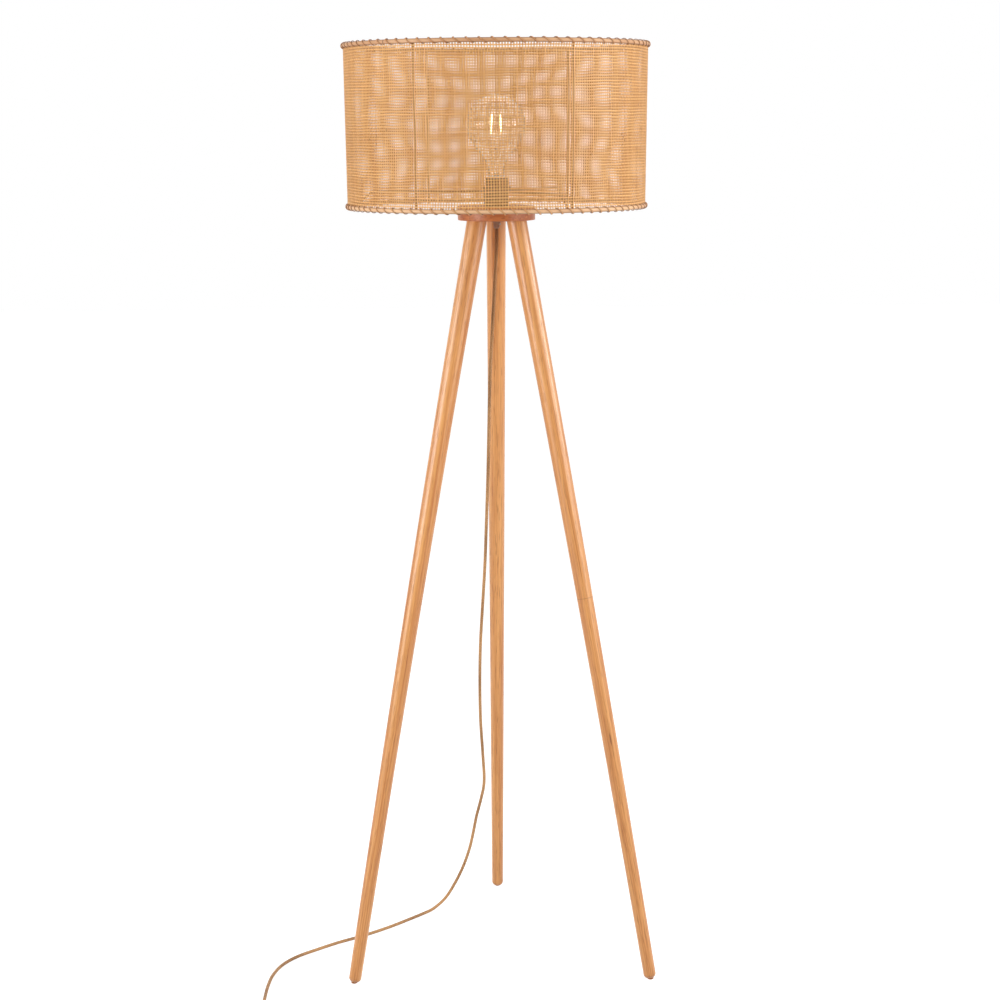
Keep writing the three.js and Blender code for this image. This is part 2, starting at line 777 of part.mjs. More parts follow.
function makeShade() {
  const wire = finish(0x6b5a45, 0.5, 0.6);
  const rim = finish(rimColour, 0.6);
  place('rim_wire_top', rimWire(shadeTopRadius, rimTopHeight), wire);
  place('rim_wire_bottom', rimWire(shadeBottomRadius, shadeBottomHeight), wire);
  place('rim_hoop_top', rimHoop(shadeTopRadius, rimTopHeight), rim);
  place('rim_hoop_bottom', rimHoop(shadeBottomRadius, shadeBottomHeight), rim);
  const [overRib, underRib] = [-0.5, 1.5];
  place('rim_lashing_top', rimLashing(shadeTopRadius, rimTopHeight, topLashingCount, overRib), rim);
  place('rim_lashing_bottom', rimLashing(shadeBottomRadius, shadeBottomHeight, bottomLashingCount, underRib), rim);
  place('shade_weave', weaveShape(), finish(caneColour, 0.65), fullTurn * ribTurnShare);
  for (let i = 0; i < ribCount; i++) {
    place(`shade_rib_${i + 1}`, ribShape(), wire, fullTurn * (ribTurnShare + i / ribCount));
  }
  place('shade_spider', spiderShape(), wire);
  place('shade_ring_nut', ringNutShape(), finish(blackPlastic, 0.4));
}

// Cord, switch, coil and plug

const coilLift = tieThickness + seatGap;
const coilOuterRadius = coilMiddleRadius + (coilPitch * coilTurnsPerLayer) / 2;
const coilCentre = [coilStart[0] + coilOuterRadius, coilStart[1]];

// Point on the coil after a number of turns: spirals in on the floor, then out on top of itself.
function coilPoint(turns) {
  const fromReversal = turns - coilTurnsPerLayer;
  const radius = coilOuterRadius - coilPitch * (coilTurnsPerLayer - Math.abs(fromReversal));
  const climb = Math.min(1, Math.max(0, 2 * fromReversal + 0.5));
  const angle = Math.PI + 2 * Math.PI * turns;
  return new THREE.Vector3(
    coilCentre[0] + radius * Math.cos(angle),
    coilCentre[1] + radius * Math.sin(angle),
    coilLift + cordRadius + coilPitch * climb,
  );
}

// Centre line of the coil with its two straight ends.
function coilLine() {
  const points = [];
  const steps = 2 * coilTurnsPerLayer * coilSteps;
  for (let i = 0; i <= steps; i++) points.push(coilPoint(i / coilSteps));
  const start = points[0].clone();
  start.y += cordWidth;
  const end = points[points.length - 1].clone();
  end.y += coilEndLength;
  end.z = plugThickness / 2;
  return [start, ...points, end];
}

// Least clear space between two turns of the wound cord.
function leastSelfGap(points) {
  let least = Infinity;
  const apart = coilSteps / 2;
  for (let i = 0; i < points.length; i++) {
    for (let k = i + apart; k < points.length; k++) {
      least = Math.min(least, points[i].distanceTo(points[k]) - cordWidth);
    }
  }
  return least;
}

function tieShape() {
  const inner = coilOuterRadius - coilPitch * coilTurnsPerLayer - cordRadius - seatGap;
  const outer = coilOuterRadius + cordRadius + seatGap;
  const height = coilPitch + cordWidth + 2 * seatGap;
  const corner = cordRadius + seatGap;
  const shape = roundedRectangle(
    outer - inner + 2 * tieThickness, height + 2 * tieThickness, corner + tieThickness,
  );
  const inside = roundedRectangle(outer - inner, height, corner);
  shape.holes.push(new THREE.Path(inside.getPoints(3)));
  const tie = new THREE.ExtrudeGeometry(shape, { depth: tieWidth, bevelEnabled: false, curveSegments: 3 });
  tie.rotateX(Math.PI / 2).translate((inner + outer) / 2, tieWidth / 2, height / 2 + tieThickness);
  return tie.rotateZ(fullTurn * tieTurnShare).translate(coilCentre[0], coilCentre[1], 0);
}

function makeCord() {
  const fabric = finish(cordColour, 0.85);
  const gripBottom = discUnderside - gripLength;
  const switchBack = switchCentre[1] + switchLength / 2 + seatGap;
  const switchFront = switchCentre[1] - switchLength / 2 - seatGap;
  const drop = curveThrough([
    [0, 0, gripBottom - seatGap], ...cordRoute,
    [switchCentre[0], switchBack + cordWidth, switchCordHeight], [switchCentre[0], switchBack, switchCordHeight],
  ]);
  place('cord_drop', tube(drop, cordRadius, cordSides, cordSteps), fabric);
  const turns = coilLine();
  const tailEnd = turns[0].clone();
  tailEnd.y += seatGap;
  const tail = curveThrough([
    [switchCentre[0], switchFront, switchCordHeight], [switchCentre[0], switchFront - cordWidth, switchCordHeight],
    [tailEnd.x, tailEnd.y + cordWidth, tailEnd.z], tailEnd.toArray(),
  ]);
  place('cord_tail', tube(tail, cordRadius, cordSides, smallSides), fabric);
  place('cord_coil', sweep(turns, cordRadius, coilSides), fabric);
  place('cord_tie', tieShape(), finish(0x2a2826, 0.8));
  console.log('least gap between turns of the coil, mm:', leastSelfGap(turns).toFixed(3));
  makePlug(turns[turns.length - 1]);
  makeSwitch();
}

function makePlug(cordEnd) {
  const [half, neck] = [plugWidth / 2, plugNeckWidth / 2];
  const length = plugLength;
  const waist = length * 0.35;
  const outline = new THREE.Shape();
  outline.moveTo(-neck, 0);
  outline.lineTo(neck, 0);
  outline.quadraticCurveTo(neck, waist, half, waist);
  outline.lineTo(half, length - plugRounding);
  outline.quadraticCurveTo(half, length, half - plugRounding, length);
  outline.lineTo(plugRounding - half, length);
  outline.quadraticCurveTo(-half, length, -half, length - plugRounding);
  outline.lineTo(-half, waist);
  outline.quadraticCurveTo(-neck, waist, -neck, 0);
  const round = plugRounding / 2;
  const body = new THREE.ExtrudeGeometry(outline, {
    depth: plugThickness - 2 * round, bevelThickness: round, bevelSize: round, bevelOffset: -round,
    bevelSegments: 2, curveSegments: 4,
  }).translate(0, 0, round);
  const slot = new THREE.BoxGeometry(
    bladeThickness + 2 * seatGap, 2 * (bladeSeat + seatGap), bladeWidth + 2 * seatGap,
  ).translate(0, length, plugThickness / 2);
  const side = bladeSpacing / 2;
  const shell = cut(body, [slot.clone().translate(side, 0, 0), slot.clone().translate(-side, 0, 0)]);
  const [x, y] = [cordEnd.x, cordEnd.y + seatGap];
  place('plug_body', shell.translate(x, y, 0), finish(blackPlastic, 0.5));
  const profile = new THREE.Shape();
  const [tip, rise] = [bladeSeat + bladeLength, bladeWidth / 2];
  profile.moveTo(0, -rise);
  profile.lineTo(tip - rise / 2, -rise);
  profile.lineTo(tip, -rise / 2);
  profile.lineTo(tip, rise / 2);
  profile.lineTo(tip - rise / 2, rise);
  profile.lineTo(0, rise);
  const eye = circle(bladeHoleRadius, cordSides).map((p) => p.add(new THREE.Vector2(tip - bladeWidth / 2, 0)));
  profile.holes.push(new THREE.Path(eye));
  for (const [name, offset] of [['left', -side], ['right', side]]) {
    const blade = new THREE.ExtrudeGeometry(profile, { depth: bladeThickness, bevelEnabled: false });
    blade.rotateX(Math.PI / 2).rotateZ(Math.PI / 2);
    blade.translate(x + offset - bladeThickness / 2, y + length - bladeSeat, plugThickness / 2);
    place(`plug_blade_${name}`, blade, finish(brassColour, 0.3, 1));
  }
}

function makeSwitch() {
  const plastic = finish(blackPlastic, 0.5);
  const outline = roundedRectangle(
    switchWidth - 2 * switchRounding, switchLength - 2 * switchRounding, switchCorner - switchRounding,
  );
  const bevel = { bevelThickness: switchRounding, bevelSize: switchRounding, bevelSegments: 1, curveSegments: 4 };
  const whole = switchBaseHeight + seatGap + switchCoverHeight;
  const block = new THREE.ExtrudeGeometry(outline, { depth: whole - 2 * switchRounding, ...bevel });
  block.translate(0, 0, switchRounding);
  const slab = new THREE.BoxGeometry(2 * switchWidth, 2 * switchLength, 2 * whole);
  const coverBottom = switchBaseHeight + seatGap;
  const base = cut(block, [slab.clone().translate(0, 0, switchBaseHeight + whole)]);
  const flangeRadius = buttonRadius + buttonFlange;
  const buttonBottom = coverBottom + buttonTravel;
  const flangeTop = buttonBottom + buttonFlange;
  const cover = cut(block, [
    slab.clone().translate(0, 0, coverBottom - whole),
    rod(buttonRadius + seatGap, 0, whole + cutOverrun, roundSides),
    rod(flangeRadius + seatGap, 0, flangeTop + seatGap, roundSides),
  ]);
  const top = whole + buttonProud;
  const button = turned([
    [0, buttonBottom], [flangeRadius, buttonBottom], [flangeRadius, flangeTop], [buttonRadius, flangeTop],
    [buttonRadius, top - buttonFlange], [buttonRadius - buttonFlange, top - buttonFlange / 4], [0, top],
  ]);
  const [x, y] = switchCentre;
  place('switch_base', base.translate(x, y, 0), plastic);
  place('switch_cover', cover.translate(x, y, 0), plastic);
  place('switch_button', button.translate(x, y, 0), finish(0x3a3836, 0.45));
}

makeTripod();
makeStem();
makeHolder();
makeBulb();
makeShade();
makeCord();

export default object;
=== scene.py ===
# %% [markdown]
# # A rattan floor lamp
# A round drum shade of open woven cane stands on a turned wooden tripod, with a globe bulb inside and a
# fabric covered cord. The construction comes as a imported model: legs, bolts, lampholder, frame wires and the
# joints. This lesson dresses it. Most pieces are built again as finer meshes in the places that the packed
# model gives, and every surface gets a procedural finish. All lengths are in metres.

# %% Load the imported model
import math

import bmesh
import bpy
import numpy as np
from mathutils import Matrix, Vector


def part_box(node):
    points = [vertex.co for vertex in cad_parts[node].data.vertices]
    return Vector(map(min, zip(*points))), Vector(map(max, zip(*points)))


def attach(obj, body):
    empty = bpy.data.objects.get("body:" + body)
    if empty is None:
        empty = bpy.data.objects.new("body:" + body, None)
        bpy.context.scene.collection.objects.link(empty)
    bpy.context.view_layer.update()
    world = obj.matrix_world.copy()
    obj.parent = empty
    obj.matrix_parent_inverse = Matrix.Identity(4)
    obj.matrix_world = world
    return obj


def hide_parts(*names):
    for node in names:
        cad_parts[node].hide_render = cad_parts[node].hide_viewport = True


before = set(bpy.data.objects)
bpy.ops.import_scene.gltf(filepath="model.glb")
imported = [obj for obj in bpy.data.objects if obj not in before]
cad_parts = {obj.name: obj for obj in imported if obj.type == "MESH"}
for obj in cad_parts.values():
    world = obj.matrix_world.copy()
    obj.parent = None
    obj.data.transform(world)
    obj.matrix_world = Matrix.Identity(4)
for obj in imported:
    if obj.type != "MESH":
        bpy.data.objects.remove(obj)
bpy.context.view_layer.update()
scene = bpy.context.scene
scene.view_settings.view_transform = "Standard"
full_turn = 2 * math.pi

disc_low, disc_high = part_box("top_disc")
axis = Vector(((disc_low.x + disc_high.x) / 2, (disc_low.y + disc_high.y) / 2, 0))


def shown(name, data):
    """Put a camera, a light or a mesh into the scene."""
    thing = bpy.data.objects.new(name, data)
    scene.collection.objects.link(thing)
    return thing


def turned(share, about="Z"):
    """A turn by a share of a full turn."""
    return Matrix.Rotation(full_turn * share, 4, about)


def at_turn(share, reach, height):
    """The point at a reach from the lamp's upright axis and at a height, turned from the lamp's right."""
    return axis + turned(share) @ Vector((reach, 0, height))


print("nodes:", len(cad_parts), "upright axis at", [round(v, 4) for v in axis])

# %% [markdown]
# ## The camera
# The photograph was taken from about three metres with a long lens, from a little above the shade's lower
# rim, looking slightly down. A wide lens from nearer would fit the same height but would spread the legs.
# These values were fitted to the rims, the feet and the legs, and then turned into a place and a heading.

# %% Place the camera
camera_distance = 3.2744
camera_height = 1.4020
camera_left_of_front = math.radians(1.09)
aim_right_of_axis = math.radians(0.053)
camera_pitch = math.radians(10.681)
camera_roll = math.radians(-0.33)

camera = shown("camera", bpy.data.cameras.new("camera"))
scene.camera = camera
camera.data.lens = 72.45
camera.data.sensor_width = 36
stand = Vector((-math.sin(camera_left_of_front), -math.cos(camera_left_of_front), 0)) * camera_distance
camera.location = axis + stand + Vector((0, 0, camera_height))
camera.rotation_mode = "QUATERNION"
camera.rotation_quaternion = (
    Matrix.Rotation(-camera_left_of_front - aim_right_of_axis, 3, "Z")
    @ Matrix.Rotation(full_turn / 4 - camera_pitch, 3, "X")
    @ Matrix.Rotation(camera_roll, 3, "Z")
).to_quaternion()
print("camera at", [round(v, 3) for v in camera.location])

# %% [markdown]
# ## Where the cord runs
# A fabric covered lead comes straight out of the grip under the disc, hangs down beside the back leg, lands
# behind the left leg and runs along the floor to a foot switch. What the photograph doesn't show is wound
# into a round coil with the plug beside it. The route is a list of points, seen from the lamp's
# axis, and one smooth curve goes through them. The coil is a formula: it spirals in on the floor, climbs
# onto itself and spirals out again.

# %% Route of the cord
cord_diameter = 0.0054
cord_radius = cord_diameter / 2
cord_route = [
    (0, 0, 1.210), (-0.003, 0.002, 1.150), (-0.008, 0.008, 1.060), (-0.012, 0.015, 0.990),
    (-0.014, 0.026, 0.910), (-0.016, 0.041, 0.825), (-0.019, 0.058, 0.735), (-0.022, 0.075, 0.655),
    (-0.026, 0.092, 0.585), (-0.030, 0.110, 0.512), (-0.0315, 0.128, 0.438), (-0.0305, 0.147, 0.360),
    (-0.027, 0.162, 0.295), (-0.025, 0.174, 0.236), (-0.031, 0.180, 0.203), (-0.039, 0.185, 0.170),
    (-0.045, 0.189, 0.138), (-0.052, 0.191, 0.107), (-0.064, 0.192, 0.072), (-0.079, 0.189, 0.042),
    (-0.096, 0.180, 0.018), (-0.118, 0.162, 0.0046), (-0.138, 0.142, 0.0027), (-0.160, 0.119, 0.0027),
    (-0.192, 0.087, 0.0027), (-0.226, 0.058, 0.0027), (-0.253, 0.038, 0.0027), (-0.281, 0.019, 0.0027),
    (-0.315, -0.009, 0.0027), (-0.347, -0.038, 0.0027), (-0.369, -0.070, 0.0027), (-0.382, -0.110, 0.0027),
    (-0.387, -0.155, 0.0027), (-0.388, -0.200, 0.0027), (-0.388, -0.235, 0.0034),
]
switch_low, switch_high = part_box("switch_base")
switch_x = (switch_low.x + switch_high.x) / 2
switch_cord_height = 0.005
coil_start = Vector((-0.388, -0.385, 0))
coil_middle_radius = 0.030
coil_pitch = cord_diameter + 0.0005
coil_turns_per_layer = 3.25
coil_lift = 0.0011
coil_end_length = 0.038
coil_steps = 48
cord_spacing = 0.0025

coil_outer_radius = coil_middle_radius + coil_pitch * coil_turns_per_layer / 2
coil_centre = coil_start + Vector((coil_outer_radius, 0, 0))
plug_low, plug_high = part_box("plug_body")
plug_middle = (plug_low + plug_high) / 2


def smooth_line(points, steps=10):
    """Centripetal curve through the points, with so many steps from each point to the next."""
    ends = [2 * points[0] - points[1], *points, 2 * points[-1] - points[-2]]
    line = [points[0]]
    for a, b, c, d in zip(ends, ends[1:], ends[2:], ends[3:]):
        before, here, after = ((q - p).length ** 0.5 for p, q in ((a, b), (b, c), (c, d)))
        leave = ((b - a) / before - (c - a) / (before + here) + (c - b) / here) * here
        reach = ((c - b) / here - (d - b) / (here + after) + (d - c) / after) * here
        for i in range(1, steps + 1):
            t = i / steps
            bow, twist = 3 * (c - b) - 2 * leave - reach, leave + reach - 2 * (c - b)
            line.append(b + leave * t + bow * t**2 + twist * t**3)
    return line


def coil_point(turns):
    """Point on the coil after a number of turns, seen from the lamp's axis."""
    from_reversal = turns - coil_turns_per_layer
    radius = coil_outer_radius - coil_pitch * (coil_turns_per_layer - abs(from_reversal))
    climb = min(1, max(0, 2 * from_reversal + 0.5))
    angle = math.pi + full_turn * turns
    out = Vector((math.cos(angle), math.sin(angle), 0)) * radius
    return coil_centre + out + Vector((0, 0, coil_lift + cord_radius + coil_pitch * climb))


def length_of(line):
    return sum((q - p).length for p, q in zip(line, line[1:]))


def evenly(line, spacing):
    """The same line with its points a fixed distance apart."""
    lengths = np.cumsum([0] + [(q - p).length for p, q in zip(line, line[1:])])
    places = np.array([tuple(p) for p in line])
    at = np.linspace(0, lengths[-1], round(lengths[-1] / spacing) + 1)
    return [Vector(p) for p in np.stack([np.interp(at, lengths, places[:, k]) for k in range(3)], 1)]


grip_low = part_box("cord_grip")[0]
cord_exit = Vector((axis.x, axis.y, grip_low.z))
switch_back = Vector((switch_x, switch_high.y, switch_cord_height))
switch_front = Vector((switch_x, switch_low.y, switch_cord_height))
along_y = Vector((0, cord_diameter, 0))
coil_line = [coil_point(i / coil_steps) for i in range(int(2 * coil_turns_per_layer * coil_steps) + 1)]
cord_end = coil_line[-1] + Vector((0, coil_end_length, 0))
cord_end.z = plug_middle.z
coil_places = [point + axis for point in [*coil_line, cord_end]]
drop_line = smooth_line(
    [cord_exit, *(Vector(point) + axis for point in cord_route), switch_back + along_y, switch_back]
)
tail_line = smooth_line([switch_front, switch_front - along_y, coil_places[0] + 2 * along_y, coil_places[0]])
cord_line = evenly([*drop_line, *tail_line, *coil_places[1:]], cord_spacing)
cord_length = length_of(cord_line)
print("cord", round(cord_length, 3), "m long with", len(cord_line), "points")

# %% [markdown]
# ## Colours and node helpers
# A shader wants linear colour, but a colour read off a screen is not linear, so a short function converts
# it. Materials are built from nodes in code. A node's output is wrapped, so that plus, minus and times work
# on it. Each sign adds a Math node, and an effect reads like the sum that it is.

# %% Helpers for colours and nodes


def tones(**screen_colours):
    """Screen colours of 0 to 255 as the linear numbers that a shader takes."""
    return {
        name: (*(((value / 255 + 0.055) / 1.055) ** 2.4 for value in colour), 1)
        for name, colour in screen_colours.items()
    }


class Output:
    """A node's output that can stand in a sum."""

    def __init__(self, socket):
        self.socket, self.tree = socket, socket.id_data

    def __add__(self, other):
        return maths("ADD", self, other)

    def __sub__(self, other):
        return maths("SUBTRACT", self, other)

    def __rsub__(self, other):
        return maths("SUBTRACT", other, self)

    def __mul__(self, other):
        return maths("MULTIPLY", self, other)


def feed(inputs, values):
    """Plug other nodes' outputs into sockets, or set plain values on them."""
    for socket, value in values.items():
        if isinstance(value, Output):
            value.tree.links.new(value.socket, inputs[socket])
        else:
            inputs[socket].default_value = value


def add(tree, kind, feeds=None, output=0, **settings):
    """Add a node with its options and feeds; returns one of its outputs."""
    node = tree.nodes.new("ShaderNode" + kind)
    for name, value in settings.items():
        setattr(node, name, value)
    feed(node.inputs, feeds or {})
    return Output(node.outputs[output])


def maths(operation, *values):
    """A Math node, in the tree that its values come from."""
    tree = next(value.tree for value in values if isinstance(value, Output))
    return add(tree, "Math", dict(enumerate(values)), operation=operation)


def blend_colours(share, first, second):
    """Mix two colours by a share of 0 to 1."""
    return add(share.tree, "Mix", {0: share, 6: first, 7: second}, 2, data_type="RGBA")


def spread(value, low, high, to_low=0.0, to_high=1.0):
    """Stretch a value from one range to another, held inside it."""
    feeds = {"Value": value, "From Min": low, "From Max": high, "To Min": to_low, "To Max": to_high}
    return add(value.tree, "MapRange", feeds, "Result")


def stretched(place, by):
    """The place with each axis scaled by its own amount."""
    return add(place.tree, "VectorMath", {0: place, 1: by}, operation="MULTIPLY")


def noise(place, scale, detail=3.0, roughness=0.5):
    """Soft noise of 0 to 1; three scales stretch it along the axes."""
    if isinstance(scale, tuple):
        place, scale = stretched(place, scale), 1
    feeds = {"Vector": place, "Scale": scale, "Detail": detail, "Roughness": roughness}
    return add(place.tree, "TexNoise", feeds, "Fac")


def new_group(name, inputs, outputs=("Color", "Roughness", "Height")):
    """A shader node group with named sockets; returns its tree and its inputs by name."""
    tree = bpy.data.node_groups.new(name, "ShaderNodeTree")
    for socket, kind in inputs.items():
        tree.interface.new_socket(name=socket, in_out="INPUT", socket_type="NodeSocket" + kind)
    for socket in outputs:
        kind = "Color" if socket == "Color" else "Float"
        tree.interface.new_socket(name=socket, in_out="OUTPUT", socket_type="NodeSocket" + kind)
    sockets = tree.nodes.new("NodeGroupInput").outputs
    return tree, {socket: Output(sockets[socket]) for socket in inputs}


def put_out(tree, **values):
    feed(tree.nodes.new("NodeGroupOutput").inputs, values)


print("honey wood in linear numbers:", [round(v, 3) for v in tones(honey=(225, 162, 102))["honey"]])

# %% [markdown]
# ## The grain of the wood
# The legs are a straight-grained hardwood under satin lacquer: long pale and dark streaks, short dark open
# pores, and here and there a warmer patch. Wood is solid, so the pattern is worked out in the wood's own
# space, stretched along the grain. An image would show its seam on a round leg. The group takes the place
# in the piece, so that one effect serves the legs and the disc.

# %% Node group: wood grain
grain_group, given = new_group(
    "wood grain", {"Place": "Vector", "Pale": "Color", "Dark": "Color", "Pore": "Color", "Mark": "Float"}
)
bend = noise(given["Place"], (18, 18, 1.6), 2)
swayed = add(grain_group, "VectorMath", {0: given["Place"], 1: bend * 0.006}, operation="ADD")
streaks = noise(swayed, (420, 420, 7), 5, 0.62)
bands = noise(swayed, (95, 95, 1.3))
patches = noise(given["Place"], (30, 30, 3.1), 2)
pores = spread(noise(swayed, (620, 620, 32), 2), 0.56, 0.68)
darkness = spread(streaks, 0.38, 0.64) * 0.50 + spread(bands, 0.38, 0.62) * 0.40
darkness = darkness + spread(patches, 0.4, 0.8) * 0.25
# The marks include painted contact shade at the legs' feet.
pores_marks_and_foot_shade = maths("MAXIMUM", pores * 0.42, given["Mark"] * 0.8)
put_out(
    grain_group,
    Color=blend_colours(pores_marks_and_foot_shade, blend_colours(darkness, given["Pale"], given["Dark"]), given["Pore"]),
    Roughness=spread(pores, 0, 1, 0.36, 0.62),
    Height=streaks * 0.25 - pores * 0.8,
)
print("grain group nodes:", len(grain_group.nodes))

# %% [markdown]
# ## Split cane
# The weave, the hoops and the lashing are all strips of rattan skin. A strip has fine fibres along it, no
# two strips are quite the same shade, and here and there the cane had a joint that left a dark mark. These
# follow the strip and not the space round it, so each mesh carries a map: across the page runs the distance
# along the strip in metres, and up the page the strip's number plus the share of its width. The inner side
# of a strip is pith, which is duller and darker than the skin, so the weave also marks its inner faces; they
# are darkened enough to paint in the shade inside the drum as well. A strip's edges can be darkened too:
# painted shade in the gaps beside it, with the cut edge's own darker tone.

# %% Node group: split cane
cane_group, given = new_group("split cane", {
    "Along": "Float", "Strip": "Float", "Pale": "Color", "Dark": "Color", "Joint": "Color",
    "Variety": "Float", "Edge_shade": "Float", "Pith_and_inner_shade": "Float",
})
number = maths("FLOOR", given["Strip"])
across = maths("FRACT", given["Strip"])
chance = add(cane_group, "TexWhiteNoise", {"W": number}, "Value", noise_dimensions="1D")


def strip_place(along_scale, across_scale):
    """A place for noise that is stretched along a strip and differs from strip to strip."""
    feeds = {0: given["Along"] * along_scale, 1: across * across_scale, 2: number * 3.37}
    return add(cane_group, "CombineXYZ", feeds)


fibres = noise(strip_place(70, 9), 1, 3, 0.6)
blotches = noise(strip_place(14, 0.6), 1, 2)
from_joint = maths("ABSOLUTE", maths("FRACT", given["Along"] * 4.1 + chance) - 0.5)
joint_mark = spread(from_joint, 0.006, 0.002) * maths("GREATER_THAN", chance, 0.8)
uneven = spread(fibres, 0.3, 0.75) * 0.25 + spread(blotches, 0.35, 0.75) * 0.35
# The pith darkening is the pith's own duller colour and painted shade on the inside of the drum.
darkness = chance * given["Variety"] + given["Pith_and_inner_shade"] * 0.65 + uneven
from_middle = maths("ABSOLUTE", (across - 0.5) * 2)
# Painted shade along each strip's edges, in the gaps beside it and where the lashing meets the hoop, with the
# cut edge's own darker tone.
edge_shade = spread(from_middle, 0.5, 0.85) * given["Edge_shade"]
joint_mark_and_edge_shade = maths("MAXIMUM", joint_mark * 0.75, edge_shade)
put_out(
    cane_group,
    Color=blend_colours(joint_mark_and_edge_shade, blend_colours(darkness, given["Pale"], given["Dark"]), given["Joint"]),
    Roughness=spread(fibres, 0.3, 0.75, 0.40, 0.62),
    Height=1 - from_middle * from_middle + fibres * 0.4,
)
print("cane group nodes:", len(cane_group.nodes))

# %% [markdown]
# ## Moulded, metal and braided finishes
# Three more effects are shared. Moulded plastic and rubber have a fine even texture and a little dust in
# their colour. Metal has faint brushing and a slightly duller tone in patches. The cord's braid is two sets
# of yarns that cross on the slant: the yarns' crests and the set on top are painted pale as lit, and the
# hollows between yarns are painted dark as shade.

# %% Node groups: moulding, metal and braid
moulding_group, given = new_group(
    "moulding", {"Place": "Vector", "Color": "Color", "Dust": "Color", "Grain": "Float"}
)
speckle = noise(given["Place"], given["Grain"], 2)
settled = spread(noise(given["Place"], 120, 4, 0.6), 0.45, 0.85)
put_out(
    moulding_group,
    Color=blend_colours(settled * 0.25, given["Color"], given["Dust"]),
    Roughness=spread(speckle, 0.3, 0.7, 0.38, 0.58),
    Height=speckle,
)

metal_group, given = new_group(
    "metal", {"Place": "Vector", "Color": "Color", "Dull": "Color", "Stretch": "Vector"}
)
brushing = noise(stretched(given["Place"], given["Stretch"]), 1)
patches = spread(noise(given["Place"], 160), 0.4, 0.75)
put_out(
    metal_group,
    Color=blend_colours(patches * 0.5, given["Color"], given["Dull"]),
    Roughness=spread(brushing, 0.3, 0.7, 0.20, 0.34) + patches * 0.12,
    Height=brushing,
)

braid_group, given = new_group(
    "braid", {"Around": "Float", "Along": "Float", "Pale": "Color", "Dark": "Color"}, ("Color", "Height")
)
yarn_count, yarn_turns_per_metre = 12, 95


def yarns(sign):
    """A value that swings from 0 between two yarns to 1 on top of one, for one of the two slants."""
    phase = given["Around"] + given["Along"] * yarn_turns_per_metre * sign
    return maths("PINGPONG", phase * yarn_count, 0.5)


left, right = yarns(1), yarns(-1)
over = maths("GREATER_THAN", left, right)
height = maths("MAXIMUM", left, right) * 2
fuzz = noise(add(braid_group, "CombineXYZ", {0: given["Around"] * 60, 1: given["Along"] * 2600}), 1, 2)
# Painted light and shade: pale on the crests and on the set on top, dark in the hollows; the fuzz is the
# yarn's own.
yarn_shading_and_fuzz = height + over * 0.12 - fuzz * 0.35
put_out(
    braid_group,
    Color=blend_colours(spread(yarn_shading_and_fuzz, 0.2, 0.9), given["Dark"], given["Pale"]),
    Height=height + fuzz * 0.2,
)
print("groups:", [group.name for group in bpy.data.node_groups])

# %% [markdown]
# ## The materials
# Each finish is a Principled shader fed by one of the groups. The groups put out only what changes over the
# surface: colour, roughness and height. Whatever is the same all over, such as the lacquer's coat, is set on
# the shader itself, where an exporter can read it.

# %% Material builder


def new_material(name, **constants):
    """A Principled material with constants set on its own sockets; returns it, its tree and its shader."""
    material = bpy.data.materials.new(name)
    material.use_nodes = True
    shader = material.node_tree.nodes["Principled BSDF"]
    feed(shader.inputs, {socket.replace("_", " "): value for socket, value in constants.items()})
    return material, material.node_tree, shader


def use_group(tree, shader, group, feeds, bump, strength=1.0):
    """Feed the shader from a group: its colour, its roughness where it has one, and its height as a bump."""
    node = tree.nodes.new("ShaderNodeGroup")
    node.node_tree = group
    feed(node.inputs, feeds)
    made = {socket.name: Output(socket) for socket in node.outputs}
    bump_feeds = {"Height": made.pop("Height"), "Distance": bump, "Strength": strength}
    made["Base Color"] = made.pop("Color")
    feed(shader.inputs, {**made, "Normal": add(tree, "Bump", bump_feeds, "Normal")})


def attribute(tree, name, output):
    """A value that the mesh carries under a name."""
    return add(tree, "Attribute", output=output, attribute_name=name)


def object_place(tree):
    return add(tree, "TexCoord", output="Object")


def strip_map(tree):
    """The two numbers of the map that cane and cord pieces carry."""
    read = add(tree, "UVMap", output="UV", uv_map="strip")
    return [add(tree, "SeparateXYZ", {0: read}, part) for part in ("X", "Y")]


def wood(name, pale, dark, pore, coat, knot=(9, 9, 9)):
    material, tree, shader = new_material(name, Coat_Weight=coat, Coat_Roughness=0.3, Specular_IOR_Level=0.45)
    place = attribute(tree, "grain", "Vector")
    flat = (1, 1, 0.13)
    knot_place = [k * f for k, f in zip(knot, flat)]
    from_knot = add(
        tree, "VectorMath", {0: stretched(place, flat), 1: knot_place}, "Value", operation="DISTANCE"
    )
    knot_mark, halo = spread(from_knot, 0.0019, 0.0009), spread(from_knot, 0.0050, 0.0010, 0, 0.35)
    # Darker over the last centimetre of each leg's foot: the rounded tip's end grain, and painted contact
    # shade where it meets the floor.
    from_end = maths("ABSOLUTE", add(tree, "SeparateXYZ", {0: place}, "Z"))
    end_grain_and_contact_shade = spread(from_end, 0.011, 0.003, 0, 0.4)
    seam = attribute(tree, "seam", "Fac")
    marks_and_foot_shade = maths("MAXIMUM", maths("MAXIMUM", seam, knot_mark), maths("MAXIMUM", halo, end_grain_and_contact_shade))
    feeds = {"Place": place, "Mark": marks_and_foot_shade, **tones(Pale=pale, Dark=dark, Pore=pore)}
    use_group(tree, shader, grain_group, feeds, 0.0002, 0.6)
    return material


